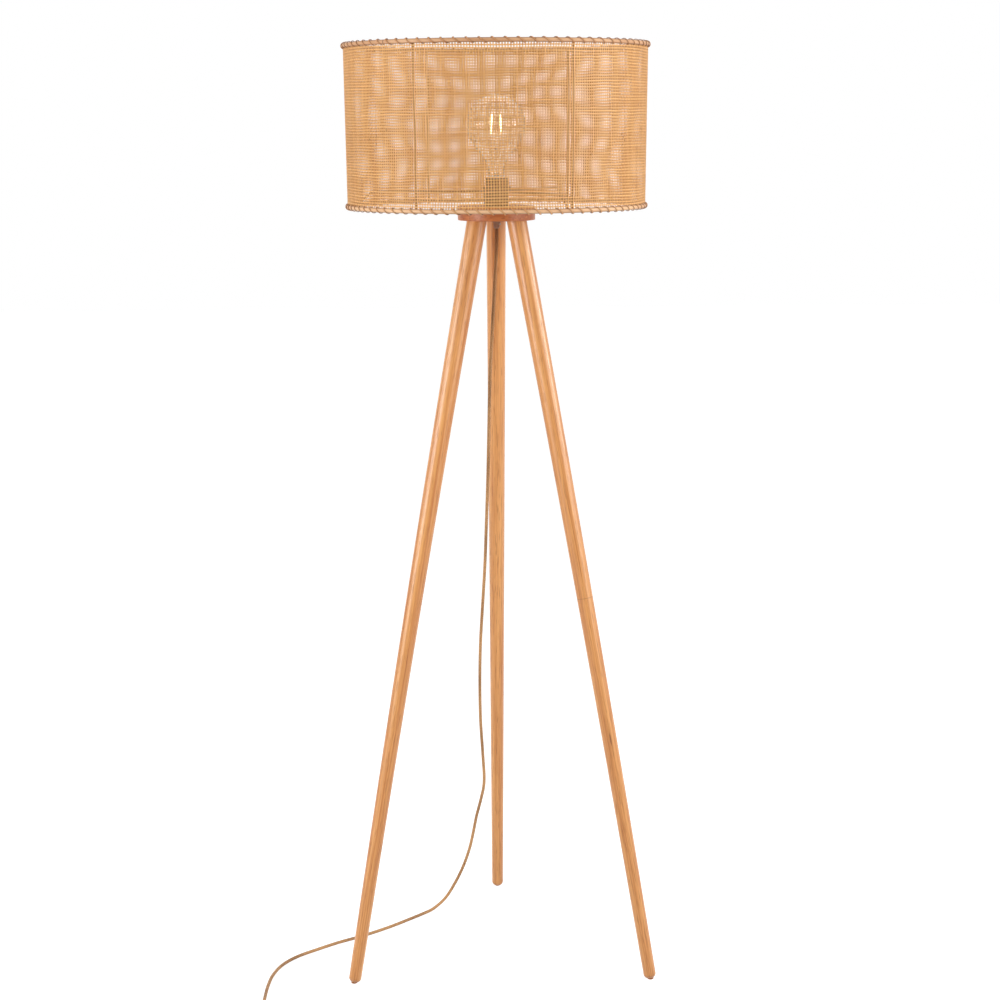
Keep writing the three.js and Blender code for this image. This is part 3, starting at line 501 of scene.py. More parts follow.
def cane(name, pale, dark, joint, variety, bump, edge):
    material, tree, shader = new_material(name, Coat_Weight=0.12, Coat_Roughness=0.35, Specular_IOR_Level=0.4)
    along, strip = strip_map(tree)
    feeds = {
        "Along": along, "Strip": strip, "Pith_and_inner_shade": attribute(tree, "pith_and_inner_shade", "Fac"), "Variety": variety,
        "Edge_shade": edge, **tones(Pale=pale, Dark=dark, Joint=joint),
    }
    use_group(tree, shader, cane_group, feeds, bump)
    return material


def moulded(name, tone, dust, grain=900.0, bump=0.00003):
    material, tree, shader = new_material(name, Specular_IOR_Level=0.5)
    feeds = {"Place": object_place(tree), "Grain": grain, **tones(Color=tone, Dust=dust)}
    use_group(tree, shader, moulding_group, feeds, bump)
    return material


def metal(name, tone, dull, stretch, metallic=1.0):
    material, tree, shader = new_material(name, Metallic=metallic)
    feeds = {"Place": object_place(tree), "Stretch": stretch, **tones(Color=tone, Dull=dull)}
    use_group(tree, shader, metal_group, feeds, 0.00002)
    return material


def braided(name, pale, dark):
    material, tree, shader = new_material(name, Roughness=0.85, Sheen_Weight=0.25, Sheen_Roughness=0.5)
    along, around = strip_map(tree)
    feeds = {"Around": around, "Along": along, **tones(Pale=pale, Dark=dark)}
    use_group(tree, shader, braid_group, feeds, 0.0003)
    return material


# %% The finishes of this lamp
knot_in_leg = (0.3796, 0.2002, 0.412)
leg_wood = wood("leg_wood", (238, 172, 101), (186, 111, 47), (124, 62, 24), 0.5, knot_in_leg)
disc_wood = wood("disc_wood", (212, 126, 62), (166, 78, 30), (112, 50, 18), 0.06)
# The last number of each cane finish sets the painted shade along its strips' edges.
woven_cane = cane("woven_cane", (255, 200, 128), (201, 132, 62), (110, 56, 22), 0.38, 0.0003, 0.3)
rim_cane = cane("rim_cane", (248, 204, 157), (178, 116, 72), (110, 62, 30), 0.35, 0.0004, 0.55)
lashing_cane = cane("lashing_cane", (236, 178, 120), (190, 124, 70), (92, 42, 14), 0.4, 0.0004, 0.9)
frame_paint = metal("frame_paint", (124, 68, 34), (100, 52, 24), (400, 400, 400), 0.0)
rim_paint = metal("rim_paint", (168, 118, 74), (140, 94, 56), (400, 400, 400), 0.0)
zinc = metal("zinc", (190, 191, 193), (150, 151, 153), (900, 900, 60))
brass = metal("brass", (214, 178, 104), (172, 134, 72), (60, 900, 900))
aluminium = metal("aluminium", (206, 206, 208), (170, 170, 172), (1200, 1200, 80))
black_moulding = moulded("black_moulding", (40, 26, 18), (62, 46, 36))
plug_moulding = moulded("plug_moulding", (40, 38, 37), (70, 66, 62), 1400.0)
button_moulding = moulded("button_moulding", (78, 75, 72), (104, 100, 95), 1100.0)
grip_moulding = moulded("grip_moulding", (188, 150, 126), (206, 172, 146), 1200.0)
pad_rubber = moulded("pad_rubber", (170, 108, 60), (186, 128, 80), 700.0, 0.00008)
porcelain = moulded("porcelain", (236, 230, 218), (222, 214, 198), 300.0)
dark_insulation = moulded("dark_insulation", (44, 43, 43), (66, 64, 62), 800.0)
pale_insulation = moulded("pale_insulation", (226, 222, 212), (206, 200, 188), 800.0)
cord_braid = braided("cord_braid", (230, 178, 122), (166, 112, 64))
tie_fabric = braided("tie_fabric", (70, 66, 62), (30, 28, 27))

glass_tone, glow_tone, glow_dim, glow_bright = tones(
    glass=(255, 252, 246), glow=(255, 226, 170), dim=(255, 228, 170), bright=(255, 242, 206)
).values()
bulb_clear = new_material(
    "bulb_clear", Base_Color=glass_tone, Roughness=0.02, Transmission_Weight=1.0, IOR=1.45
)[0]
glow, glow_tree, glow_shader = new_material(
    "glow", Base_Color=glow_tone, Roughness=0.5, Emission_Strength=6.0
)
glow_share = noise(object_place(glow_tree), (300, 300, 900), 2)
feed(glow_shader.inputs, {"Emission Color": blend_colours(glow_share, glow_dim, glow_bright)})
print("materials:", len(bpy.data.materials))

# %% [markdown]
# ## Helpers for the meshes
# Most parts of a lamp are turned: a leg, a disc, a lampholder, a bulb. Each starts as an outline of radius
# and height that is spun all the way round. Hard edges then get a small bevel, because an edge without one
# catches no light. Faces are smooth shaded, and an edge that stays sharp is marked so.

# %% Helpers that make a piece
sharp_angle = math.radians(32)


def mesh_of(bm, name="part"):
    """Turn a bmesh into mesh data, and let go of it."""
    mesh = bpy.data.meshes.new(name)
    bm.to_mesh(mesh)
    bm.free()
    return mesh


def placed(name, bm, material, slot, *replaced, body="lamp"):
    """Turn a bmesh into a piece of the lamp, smooth shaded but for its sharp edges."""
    for face in bm.faces:
        face.smooth = True
    for edge in bm.edges:
        if len(edge.link_faces) == 2:
            edge.smooth = edge.calc_face_angle() < sharp_angle
    mesh = mesh_of(bm, name)
    mesh.materials.append(material)
    piece = shown(name, mesh)
    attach(piece, body)
    if replaced:
        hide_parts(*replaced)
    return piece


def dress(material, *names):
    """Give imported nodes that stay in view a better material."""
    for name in names:
        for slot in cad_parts[name].material_slots:
            slot.material = material


def write_map(piece, rule):
    """Write a strip map by a rule that takes a corner's place, seen from the lamp's axis."""
    level_map = piece.data.uv_layers.new(name="strip")
    for loop in piece.data.loops:
        level_map.data[loop.index].uv = rule(piece.data.vertices[loop.vertex_index].co - axis)


def strip_level(number, across):
    """The map's second number: the strip's own, plus the share of its width from -0.5 to 0.5."""
    return number + 0.02 + 0.96 * np.clip(across + 0.5, 0, 1)


# %% Helpers that shape a mesh


def drawn(bm, points, closed=False):
    """Draw corners and the edges between them through points; returns all of them."""
    corners = [bm.verts.new(point) for point in points]
    return corners + [bm.edges.new(pair) for pair in zip(corners, corners[1:] + corners[:1] * closed)]


def spun(outline, sides=64, centre=axis, closed=False):
    """Spin an outline of (radius, height) points round an upright line, the lamp's axis unless told."""
    bm = bmesh.new()
    line = drawn(bm, [centre + Vector((radius, 0, height)) for radius, height in outline], closed)
    bmesh.ops.spin(bm, geom=line, cent=centre, axis=(0, 0, 1), angle=full_turn, steps=sides, use_merge=True)
    bmesh.ops.remove_doubles(bm, verts=bm.verts, dist=1e-6)
    bmesh.ops.dissolve_degenerate(bm, edges=bm.edges, dist=1e-7)
    bmesh.ops.recalc_face_normals(bm, faces=bm.faces)
    return bm


def all_of(bm):
    return bm.verts[:] + bm.edges[:] + bm.faces[:]


def repeat_round(bm, count, turn_between):
    """Repeat what is there round the lamp's axis, until there are so many."""
    bmesh.ops.spin(
        bm, geom=all_of(bm), cent=axis, axis=(0, 0, 1), angle=turn_between * (count - 1), steps=count - 1,
        use_duplicate=True,
    )


def pulled(bm, operator, shift, **parts):
    """Extrude parts and move the corners that came out of them."""
    made = operator(bm, **parts)["geom"]
    bmesh.ops.translate(bm, verts=[part for part in made if isinstance(part, bmesh.types.BMVert)], vec=shift)
    bmesh.ops.recalc_face_normals(bm, faces=bm.faces)


def give_thickness(bm, thickness, outwards):
    """Turn faces outwards, by a rule for what is outwards at a place, and thicken them behind."""
    bmesh.ops.recalc_face_normals(bm, faces=bm.faces)
    if sum(face.normal.dot(outwards(face.calc_center_median())) for face in bm.faces) < 0:
        bmesh.ops.reverse_faces(bm, faces=bm.faces)
    bmesh.ops.solidify(bm, geom=bm.faces, thickness=-thickness)
    bmesh.ops.recalc_face_normals(bm, faces=bm.faces)
    return bm


def soften(bm, width, segments=2, angle=sharp_angle):
    """Bevel every edge that is sharper than an angle."""
    edges = [edge for edge in bm.edges if len(edge.link_faces) == 2 and edge.calc_face_angle() > angle]
    bmesh.ops.bevel(
        bm, geom=edges, offset=width, segments=segments, profile=0.5, material=-1, affect="EDGES",
        clamp_overlap=True,
    )


def arc(centre_radius, centre_height, radius, start, stop, steps=6):
    """Points of an arc in an outline, with its angles as shares of a full turn from straight out."""
    angles = (full_turn * (start + (stop - start) * i / steps) for i in range(steps + 1))
    return [(centre_radius + radius * math.cos(a), centre_height + radius * math.sin(a)) for a in angles]


def eased(*corners):
    """An outline of (radius, height) corners, where a third number cuts a corner off by that much."""
    outline = []
    befores, afters = corners[-1:] + corners, corners[1:] + corners[:1]
    for before, (radius, height, *cut), after in zip(befores, corners, afters):
        if not cut:
            outline.append((radius, height))
            continue
        for end in (before, after):
            share = cut[0] / math.dist((radius, height), end[:2])
            outline.append((radius + (end[0] - radius) * share, height + (end[1] - height) * share))
    return outline


def tube(points, radius, sides_level=4, shares=None):
    """A mesh tube along a line, made by a bevelled curve; its map has metres along and turns around.

    The shares make it thinner or thicker from point to point.
    """
    curve = bpy.data.curves.new("line", "CURVE")
    curve.dimensions = "3D"
    spline = curve.splines.new("POLY")
    spline.points.add(len(points) - 1)
    for place, point, share in zip(spline.points, points, shares or [1] * len(points)):
        place.co = (*point, 1)
        place.radius = share
    curve.bevel_depth = radius
    curve.bevel_resolution = sides_level
    curve.use_fill_caps = True
    line = bpy.data.objects.new("line", curve)
    bm = bmesh.new()
    bm.from_mesh(bpy.data.meshes.new_from_object(line))
    bpy.data.objects.remove(line)
    length = length_of(points)
    curve_map, strip = bm.loops.layers.uv.verify(), bm.loops.layers.uv.new("strip")
    for face in bm.faces:
        for loop in face.loops:
            around, along = loop[curve_map].uv
            loop[strip].uv = (along * length, around)
    bmesh.ops.remove_doubles(bm, verts=bm.verts, dist=1e-7)
    bmesh.ops.recalc_face_normals(bm, faces=bm.faces)
    return bm


print("helpers ready; an edge over", round(math.degrees(sharp_angle)), "degrees stays sharp")

# %% [markdown]
# ## The woven wall
# The wall is an open plain weave: 346 upright strips and 57 rows of split cane, each about 2 mm wide with
# holes of about 2.4 mm. It could be a flat sheet with a see-through pattern, but then the strips would have
# no thickness, and the play of the front wall against the back wall, which gives the shade its soft blocks
# of light and dark, would be wrong. So every strip is real. One upright is shaped as a wavy ribbon and spun
# round as copies, and its neighbour gets the opposite wave. One row is a spun band with the same wave.

# %% Sizes of the weave
shade_top_radius = 0.2416
shade_taper = 0.0029
rim_bottom_height = 1.2676
rim_top_height = 1.5191
shade_height = rim_top_height - rim_bottom_height
upright_count = 346
row_count = 57
strip_width = 0.00198
strip_thickness = 0.00042
wave_depth = 0.00023
weave_tuck = 0.003
row_pitch = shade_height / row_count
upright_turn = full_turn / upright_count
weave_turn = -0.407 * upright_turn


def wall_radius(height):
    """Radius of the middle of the woven wall at a height."""
    return shade_top_radius - shade_taper * (rim_top_height - height) / shade_height


def row_height(row):
    return rim_bottom_height + (row + 0.5) * row_pitch


print("hole about", round(1000 * (row_pitch - strip_width), 2), "mm high and",
      round(1000 * (upright_turn * shade_top_radius - strip_width), 2), "mm wide")


# %% One upright and one row


def upright_strip(first_side, inset):
    """A wavy ribbon at the lamp's right, over and under the rows; first_side is +1 or -1."""
    bm = bmesh.new()
    line = [(rim_bottom_height - weave_tuck, 0)]
    for row in range(row_count):
        for shift in (-row_pitch / 4, row_pitch / 4):
            line.append((row_height(row) + shift, first_side * (-1) ** row))
    line.append((rim_top_height + weave_tuck, 0))
    drawn(bm, [
        (wall_radius(z) - inset + side * wave_depth - strip_thickness / 2, -strip_width / 2, z)
        for z, side in line
    ])
    pulled(bm, bmesh.ops.extrude_edge_only, (0, strip_width, 0), edges=bm.edges[:])
    return give_thickness(bm, strip_thickness, lambda place: place)


def row_band(turn_steps, inset):
    """A wavy band round the origin at height 0, with two steps for each upright that it crosses."""
    bm = bmesh.new()
    radius = shade_top_radius - inset
    edge = drawn(bm, [(radius, 0, -strip_width / 2), (radius, 0, strip_width / 2)])
    bmesh.ops.rotate(bm, verts=bm.verts, cent=(0, 0, 0), matrix=Matrix.Rotation(-upright_turn / 4, 3, "Z"))
    bmesh.ops.spin(
        bm, geom=edge, cent=(0, 0, 0), axis=(0, 0, 1), angle=turn_steps * upright_turn / 2, steps=turn_steps,
        use_merge=turn_steps == 2 * upright_count,
    )
    for corner in bm.verts:
        step = round((math.atan2(corner.co.y, corner.co.x) / upright_turn + 0.25) * 2)
        side = 1 if step % 4 in (0, 1) else -1
        corner.co.xy *= (radius + side * wave_depth - strip_thickness / 2) / radius
    return give_thickness(bm, strip_thickness, lambda place: place)


# %% [markdown]
# ## Maps and small irregularities
# A strip's map is worked out from where it lies: the strip's number comes from its angle or its height. Real
# cane also wanders a little, so after the map is made each strip is shifted by a slow wave of its own, a
# tenth of a millimetre or two, and the whole cloth is pulled out of square by up to a millimetre. Without
# that the blocks of light would lie in a perfect grid. The waves come from a seeded generator, so every run
# gives the same shade.

# %% Map the strips and let them wander
pull_size = 0.0006
swing_size, offset_size = 0.00008, 0.00012
held_by_rim = 0.01


def cloth_pull(angle, height, slow, fast, rise):
    """A smooth push of the whole weave, which it got when it was bent and bound."""
    first = np.sin(slow * angle + rise * height + slow)
    second = 0.8 * np.sin(fast * angle - 2.3 * rise * height + fast)
    return pull_size * (first + second)


def read_rows(items, name):
    """A vector of every vertex or face as the rows of an array."""
    values = np.empty(len(items) * 3)
    items.foreach_get(name, values)
    return values.reshape(-1, 3)


def map_and_wander(piece, upright, seed, number_from, first_turn=weave_turn):
    """Write the strip map of a piece of the weave and shift its strips slightly."""
    mesh = piece.data
    places = read_rows(mesh.vertices, "co")
    x, y = places[:, 0] - axis.x, places[:, 1] - axis.y
    angle, radius, height = np.arctan2(y, x), np.hypot(x, y), places[:, 2]
    if upright:
        number = np.round((angle - first_turn) / upright_turn)
        along = height
        across = (angle - first_turn - number * upright_turn) * radius / strip_width
        number %= upright_count
    else:
        number = np.round((height - rim_bottom_height) / row_pitch - 0.5)
        along = angle * radius
        across = (height - row_height(number)) / strip_width
    number = number - number.min()
    corner_vertex = np.empty(len(mesh.loops), int)
    mesh.loops.foreach_get("vertex_index", corner_vertex)
    levels = strip_level(number_from + number, across)
    level_map = mesh.uv_layers.new(name="strip")
    level_map.data.foreach_set("uv", np.stack([along, levels], 1)[corner_vertex].ravel())

    facing, middles = read_rows(mesh.polygons, "normal"), read_rows(mesh.polygons, "center")
    # Inner faces are pith; marking them darker also paints shade on the inside of the drum.
    inner = (facing[:, :2] * (middles[:, :2] - tuple(axis.xy))).sum(1) < -0.05
    mesh.attributes.new("pith_and_inner_shade", "FLOAT", "FACE").data.foreach_set("value", inner.astype(float))

    chance = np.random.default_rng(seed)
    phase, length, size, steady = chance.random((4, int(number.max()) + 1))
    picked = number.astype(int)
    lengths = 0.05 + 0.12 * length[picked] if upright else 1 / (3 + np.floor(9 * length[picked]))
    travel = along if upright else angle / full_turn
    swing = np.sin(full_turn * (travel / lengths + phase[picked]))
    rim_share = np.clip(np.minimum(height - rim_bottom_height, rim_top_height - height) / held_by_rim, 0, 1)
    shift = (swing_size * size[picked] * swing + offset_size * (steady[picked] - 0.5)) * rim_share
    angle = angle + (shift * upright + cloth_pull(angle, height, 5, 3, 24) * rim_share) / radius
    places[:, 0] = axis.x + radius * np.cos(angle)
    places[:, 1] = axis.y + radius * np.sin(angle)
    places[:, 2] += shift * (not upright) + cloth_pull(angle, height, 4, 9, 17) * rim_share
    mesh.vertices.foreach_set("co", places.ravel())
    mesh.update()
    print(piece.name, len(mesh.polygons), "faces")


# %% Weave the wall


def uprights(name, first_turn, first_side, count, inset=0.0):
    bm = upright_strip(first_side, inset)
    bmesh.ops.translate(bm, verts=bm.verts, vec=axis)
    bmesh.ops.rotate(bm, verts=bm.verts, cent=axis, matrix=Matrix.Rotation(first_turn, 3, "Z"))
    repeat_round(bm, count, 2 * upright_turn)
    return placed(name, bm, woven_cane, "woven_cane", "shade_weave")


def rows(name, first_row, first_turn, turn_steps, inset=0.0):
    pattern = mesh_of(row_band(turn_steps, inset))
    bm = bmesh.new()
    for row in range(first_row, row_count, 2):
        share = (wall_radius(row_height(row)) - inset) / (shade_top_radius - inset)
        known = len(bm.verts)
        bm.from_mesh(pattern)
        sized = Matrix.Rotation(first_turn, 4, "Z") @ Matrix.Diagonal((share, share, 1, 1))
        place = Matrix.Translation(axis + Vector((0, 0, row_height(row)))) @ sized
        bmesh.ops.transform(bm, verts=bm.verts[known:], matrix=place)
    bpy.data.meshes.remove(pattern)
    return placed(name, bm, woven_cane, "woven_cane", "shade_weave")


def woven(name, start, strips, row_steps, inset, seed, number_from):
    """Both layers of uprights and of rows of a stretch of the weave, mapped and let wander."""
    pieces = [
        uprights(name + "_uprights_even", start, -1, strips // 2, inset),
        uprights(name + "_uprights_odd", start + upright_turn, 1, strips // 2, inset),
        rows(name + "_rows_even", 0, start, row_steps, inset),
        rows(name + "_rows_odd", 1, start + upright_turn, row_steps, inset),
    ]
    for i, piece in enumerate(pieces):
        map_and_wander(piece, i < 2, seed + i, number_from + 1000 * i, start)


woven("cane", weave_turn, upright_count, 2 * upright_count, 0, seed=10, number_from=0)

# %% [markdown]
# ## The overlap in the wall
# The wall was woven flat and closed into a drum, and where its ends meet they overlap by five or six strips.
# The second layer lies just inside the first with its strips over the first one's holes, which is why that
# stretch looks dense and a little darker. It is made by the same function over a short arc.

# %% The second layer at the overlap
overlap_middle = math.radians(-33.5)
overlap_strips = 6
overlap_inset = 0.0013
first_strip = round(overlap_middle / upright_turn) - overlap_strips / 2
overlap_start = (first_strip + 0.5) * upright_turn + weave_turn
woven(
    "overlap", overlap_start, overlap_strips, 2 * overlap_strips - 1, overlap_inset, seed=20, number_from=5000
)
print("overlap about", round(1000 * overlap_strips * upright_turn * shade_top_radius), "mm wide")

# %% [markdown]
# ## The legs
# Each leg was turned on a lathe: a long cone, thicker at the top, with a rounded foot. It leans in from the
# foot to the disc, where it is cut level. A leaning cone could be modelled in place, but it is easier to turn
# it upright, lean it as one piece and slice its ends with planes, as a joiner would. The legs in the
# photograph bow outwards by a few millimetres, so the upright leg is bent first. The right one is joined from
# two lengths: a ring of corners marks the joint line, and the material darkens it. The wood's own space is
# stored in the mesh, so the grain, and the small knot in the right leg, stay put however the leg leans.

# %% Sizes and place of the legs
disc_underside, disc_top = disc_low.z, disc_high.z
seat_gap = 0.0003
leg_foot_reach, leg_top_reach = 0.2835, 0.0368
leg_foot_radius, leg_top_radius = 0.01025, 0.016
leg_foot_rounding, foot_tip = 0.0075, 0.0016
leg_bow = 0.003
seam_height, seam_half, seam_darkness = 0.648, 0.0009, 0.65
pad_radius, pad_thickness = 0.0052, 0.002
leg_turns = {"front_left": 7 / 12, "front_right": 11 / 12, "back": 3 / 12}
leg_slant = math.atan2(leg_foot_reach - leg_top_reach, disc_underside)
leg_length = disc_underside / math.cos(leg_slant)


def leg_place(turn):
    """From the upright leg on its foot to the leg that leans in towards the lamp's axis."""
    leaning = Matrix.Translation((leg_foot_reach, 0, 0)) @ Matrix.Rotation(-leg_slant, 4, "Y")
    return Matrix.Translation(axis) @ turned(turn) @ leaning


print("the legs lean", round(math.degrees(leg_slant), 1), "degrees")

# %% Turn, lean and cut the legs


def mark_grain(bm, to_wood):
    """Store each corner's place in the wood's own space, whose third axis is the grain."""
    layer = bm.verts.layers.float_vector.new("grain")
    for corner in bm.verts:
        corner[layer] = to_wood @ corner.co


def slice_level(bm, height, keep_below):
    """Cut a piece level at a height and close the cut."""
    bmesh.ops.bisect_plane(
        bm, geom=all_of(bm), dist=1e-7, plane_co=(0, 0, height), plane_no=(0, 0, 1), clear_outer=keep_below,
        clear_inner=not keep_below,
    )
    bmesh.ops.holes_fill(bm, edges=[edge for edge in bm.edges if edge.is_boundary], sides=0)


foot_centre = (leg_foot_radius - leg_foot_rounding, foot_tip + leg_foot_rounding)
leg_end = leg_length + leg_top_radius
leg_widening = (leg_top_radius - leg_foot_radius) / leg_end
seam_levels = [seam_height + seam_half * k for k in (-1, 0, 1)]
levels = sorted([leg_end * step / 24 for step in range(1, 25)] + seam_levels)
leg_side = [(leg_foot_radius + leg_widening * level, level) for level in levels]
leg_outline = [(0, foot_tip), *arc(*foot_centre, leg_foot_rounding, -0.25, 0, 12), *leg_side, (0, leg_end)]
pad_outline = eased((0, 0), (pad_radius, 0, 0.0006), (pad_radius, pad_thickness, 0.0004), (0, pad_thickness))
for number, (side, turn) in enumerate(leg_turns.items()):
    bm = spun(leg_outline, sides=56, centre=Vector())
    seam = bm.verts.layers.float.new("seam")
    for corner in bm.verts:
        if side == "front_right" and abs(corner.co.z - seam_height) < seam_half / 2:
            corner[seam] = seam_darkness
        corner.co.x += leg_bow * math.sin(math.pi * min(1, max(0, corner.co.z / leg_length)))
    bmesh.ops.transform(bm, verts=bm.verts, matrix=leg_place(turn))
    slice_level(bm, disc_underside - seat_gap, keep_below=True)
    slice_level(bm, pad_thickness + seat_gap, keep_below=False)
    bmesh.ops.recalc_face_normals(bm, faces=bm.faces)
    mark_grain(bm, Matrix.Translation((0.37 * number, 0.21 * number, 0)) @ leg_place(turn).inverted())
    placed("turned_leg_" + side, bm, leg_wood, "leg_wood", "leg_" + side)
    foot = at_turn(turn, leg_foot_reach, 0)
    placed("rubber_pad_" + side, spun(pad_outline, 40, foot), pad_rubber, "foot_pad", "foot_pad_" + side)
print("legs", round(leg_length, 3), "m long")

# %% [markdown]
# ## The disc
# The legs are screwed to a round disc of a redder wood, with its edges eased by sandpaper. Under its middle a
# shallow recess holds the nut of the threaded stem. One closed outline, spun, makes all of that. Its grain
# runs across the lamp, so its place in the wood is the place in the lamp turned by a quarter.

# %% Turn the disc
disc_radius, disc_rounding = 0.0624, 0.0009
recess_radius, recess_depth, stem_bore = 0.0093, 0.0058, 0.0053
disc_side, recess_top = disc_radius - disc_rounding, disc_underside + recess_depth
disc_outline = [
    (recess_radius, disc_underside),
    *arc(disc_side, disc_underside + disc_rounding, disc_rounding, -0.25, 0, 4),
    *arc(disc_side, disc_top - disc_rounding, disc_rounding, 0, 0.25, 4),
    (stem_bore, disc_top), (stem_bore, recess_top), (recess_radius, recess_top),
]
disc = spun(disc_outline, sides=112, closed=True)
mark_grain(disc, turned(1 / 4, "Y") @ Matrix.Translation(Vector((1.5, 0.4, -disc_underside)) - axis))
placed("turned_disc", disc, disc_wood, "disc_wood", "top_disc")
print("disc", round(2000 * disc_radius), "mm across")

# %% [markdown]
# ## The cord grip
# The cord leaves the disc through a small grey grip with a ribbed collar and a rounded tip. The ribs are
# pressed into the spun collar by drawing in every corner that lies between two ribs. The same helper serves
# the ring nut on the lampholder. A small screw in the grip's side pinches the cord; it is made of pale
# plastic, and that pale colour is a painted glint, the white dot seen there.

# %% Cord grip


def flute(bm, from_radius, depth, count):
    """Draw corners beyond a radius in towards the axis, so that a number of ribs stay."""
    for corner in bm.verts:
        out = corner.co - axis
        out.z = 0
        if out.length > from_radius:
            hollow = (1 - math.cos(count * math.atan2(out.y, out.x))) / 2
            corner.co -= out.normalized() * depth * hollow


grip_bottom, grip_top = grip_low.z, disc_underside - seat_gap
collar_bottom = grip_top - 0.004
grip_radius, grip_bore, grip_neck, neck_top = 0.0065, 0.003, 0.0036, grip_top + 0.005
grip = spun(eased(
    (grip_bore, grip_bottom), *arc(0.0008, grip_bottom + 0.0032, 0.0042, -0.14, 0, 7),
    (0.005, collar_bottom - 0.0004), (0.0054, collar_bottom), (grip_radius, collar_bottom, 0.0004),
    (grip_radius, grip_top, 0.0004), (grip_neck, grip_top), (grip_neck, neck_top), (grip_bore, neck_top),
), sides=96, closed=True)
flute(grip, 0.0058, 0.0005, 24)
placed("ribbed_grip", grip, grip_moulding, "grip_plastic", "cord_grip")

screw_reach, screw_out = 0.0044, 0.0072
screw_outline = [
    (0, screw_reach), (0.0017, screw_reach), (0.0019, screw_reach + 0.0003), (0.0019, screw_out - 0.0003),
    (0.0016, screw_out), (0.0008, screw_out), (0.0007, screw_out - 0.0009), (0, screw_out - 0.0010),
]
screw = spun(screw_outline, 32, Vector())
screw_place = Matrix.Translation((axis.x, axis.y, grip_top - 0.0063)) @ turned(-0.06) @ turned(1 / 4, "Y")
bmesh.ops.transform(screw, verts=screw.verts, matrix=screw_place)
# Pale plastic here paints the screw's bright glint into its colour.
placed("clamp_screw", screw, pale_insulation, "grip_plastic")
print("grip", round(1000 * (grip_top - grip_bottom), 1), "mm long")

# %% [markdown]
# ## The lampholder
# Inside the shade stands a black moulded lampholder: a cap screwed to the threaded stem, and a barrel with a
# flange and an outside thread for the ring nut. The thread is a ridge that climbs as it goes round. A spin
# can do that, because it takes a shift for each step; the ridge is a separate closed strip that is sunk a
# little into the barrel.

# %% Lampholder
holder_bottom = disc_top + seat_gap
holder_radius, barrel_radius = 0.020, 0.019
cap_height, flange_height, barrel_height = 0.018, 0.004, 0.0258
pocket_radius, cap_inside, barrel_inside, cap_floor = 0.0176, 0.0152, 0.0142, 0.004
holder_cap_top = holder_bottom + cap_height
barrel_bottom = holder_cap_top + seat_gap
flange_top = barrel_bottom + flange_height
barrel_top = barrel_bottom + barrel_height
bulb_cap_bottom = flange_top - 0.0012
core_top = bulb_cap_bottom - 0.0014
core_bottom = core_top - 0.009


def thread(bm, radius, low, high, pitch, depth, sides=40):
    """Add a screw thread's ridge round the axis, from one height to another."""
    turns = (high - low) / pitch - 0.5
    section = [(radius - depth / 2, 0), (radius - depth / 2, pitch / 2), (radius + depth, pitch / 4)]
    ridge = bm.faces.new([bm.verts.new(axis + Vector((out, 0, low + up))) for out, up in section])
    bmesh.ops.spin(
        bm, geom=[ridge], cent=axis, axis=(0, 0, 1), dvec=(0, 0, pitch / sides), angle=full_turn * turns,
        steps=round(turns * sides),
    )
    bmesh.ops.recalc_face_normals(bm, faces=bm.faces)


cap = spun(eased(
    (stem_bore, holder_bottom), (holder_radius - 0.002, holder_bottom),
    (holder_radius - 0.0006, holder_bottom + 0.0006), (holder_radius, holder_bottom + 0.002),
    (holder_radius, holder_cap_top, 0.0004), (pocket_radius, holder_cap_top),
    (pocket_radius, core_bottom - seat_gap), (cap_inside, core_bottom - seat_gap),
    (cap_inside, holder_bottom + cap_floor), (stem_bore, holder_bottom + cap_floor),
), 80, closed=True)
placed("moulded_cap", cap, black_moulding, "black_plastic", "holder_cap")
barrel = spun(eased(
    (pocket_radius, barrel_bottom), (holder_radius, barrel_bottom, 0.0004),
    (holder_radius, flange_top, 0.0006), (barrel_radius - 0.0004, flange_top),
    (barrel_radius - 0.0004, barrel_top, 0.0008),
    (barrel_inside, barrel_top, 0.0006), (barrel_inside, core_top + seat_gap),
    (pocket_radius, core_top + seat_gap),
), 80, closed=True)
thread(barrel, barrel_radius - 0.0005, flange_top + 0.0102, barrel_top - 0.0018, 0.0025, 0.0005, sides=60)
placed("threaded_barrel", barrel, black_moulding, "black_plastic", "holder_barrel")
print("lampholder", round(1000 * (barrel_top - holder_bottom), 1), "mm high")

# %% [markdown]
# ## The bulb
# The globe bulb is lit: four bright filaments in two pairs lean together on a glass stem. The glass is a
# thin shell, so its outline goes down the outside and back up the inside, and light bends through two real
# walls. The lower part of the outline eases from the globe into the neck on a smooth curve. All of the bulb
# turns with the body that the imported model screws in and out.

# %% Outline of the globe
globe_radius, globe_turn_share = 0.0475, 0.328
bulb_top = bulb_cap_bottom + 0.155
globe_centre = bulb_top - globe_radius
glass_wall = 0.001
neck_radius, neck_in_cap = 0.012, 0.008
neck_height = bulb_cap_bottom + 0.027


def globe_outline(wall):
    """Outline from the crown down to the neck, drawn in by a wall's thickness."""
    neck, angle = neck_radius - wall, full_turn * globe_turn_share
    round_part = arc(0, globe_centre, globe_radius - wall, 0.25, 0.25 - globe_turn_share, 28)
    start = Vector(round_part[-1])
    leave = Vector((math.cos(angle), -math.sin(angle)))
    reach = (start.y - neck_height) / 2
    handles = [start, start + leave * reach, Vector((neck, neck_height + reach)), Vector((neck, neck_height))]
    curve = []
    for step in range(1, 13):
        t = step / 12
        weights = [(1 - t) ** 3, 3 * t * (1 - t) ** 2, 3 * t * t * (1 - t), t**3]
        curve.append(tuple(sum((h * w for h, w in zip(handles, weights)), Vector((0, 0)))))
    return [*round_part, *curve, (neck, neck_height - neck_in_cap)]


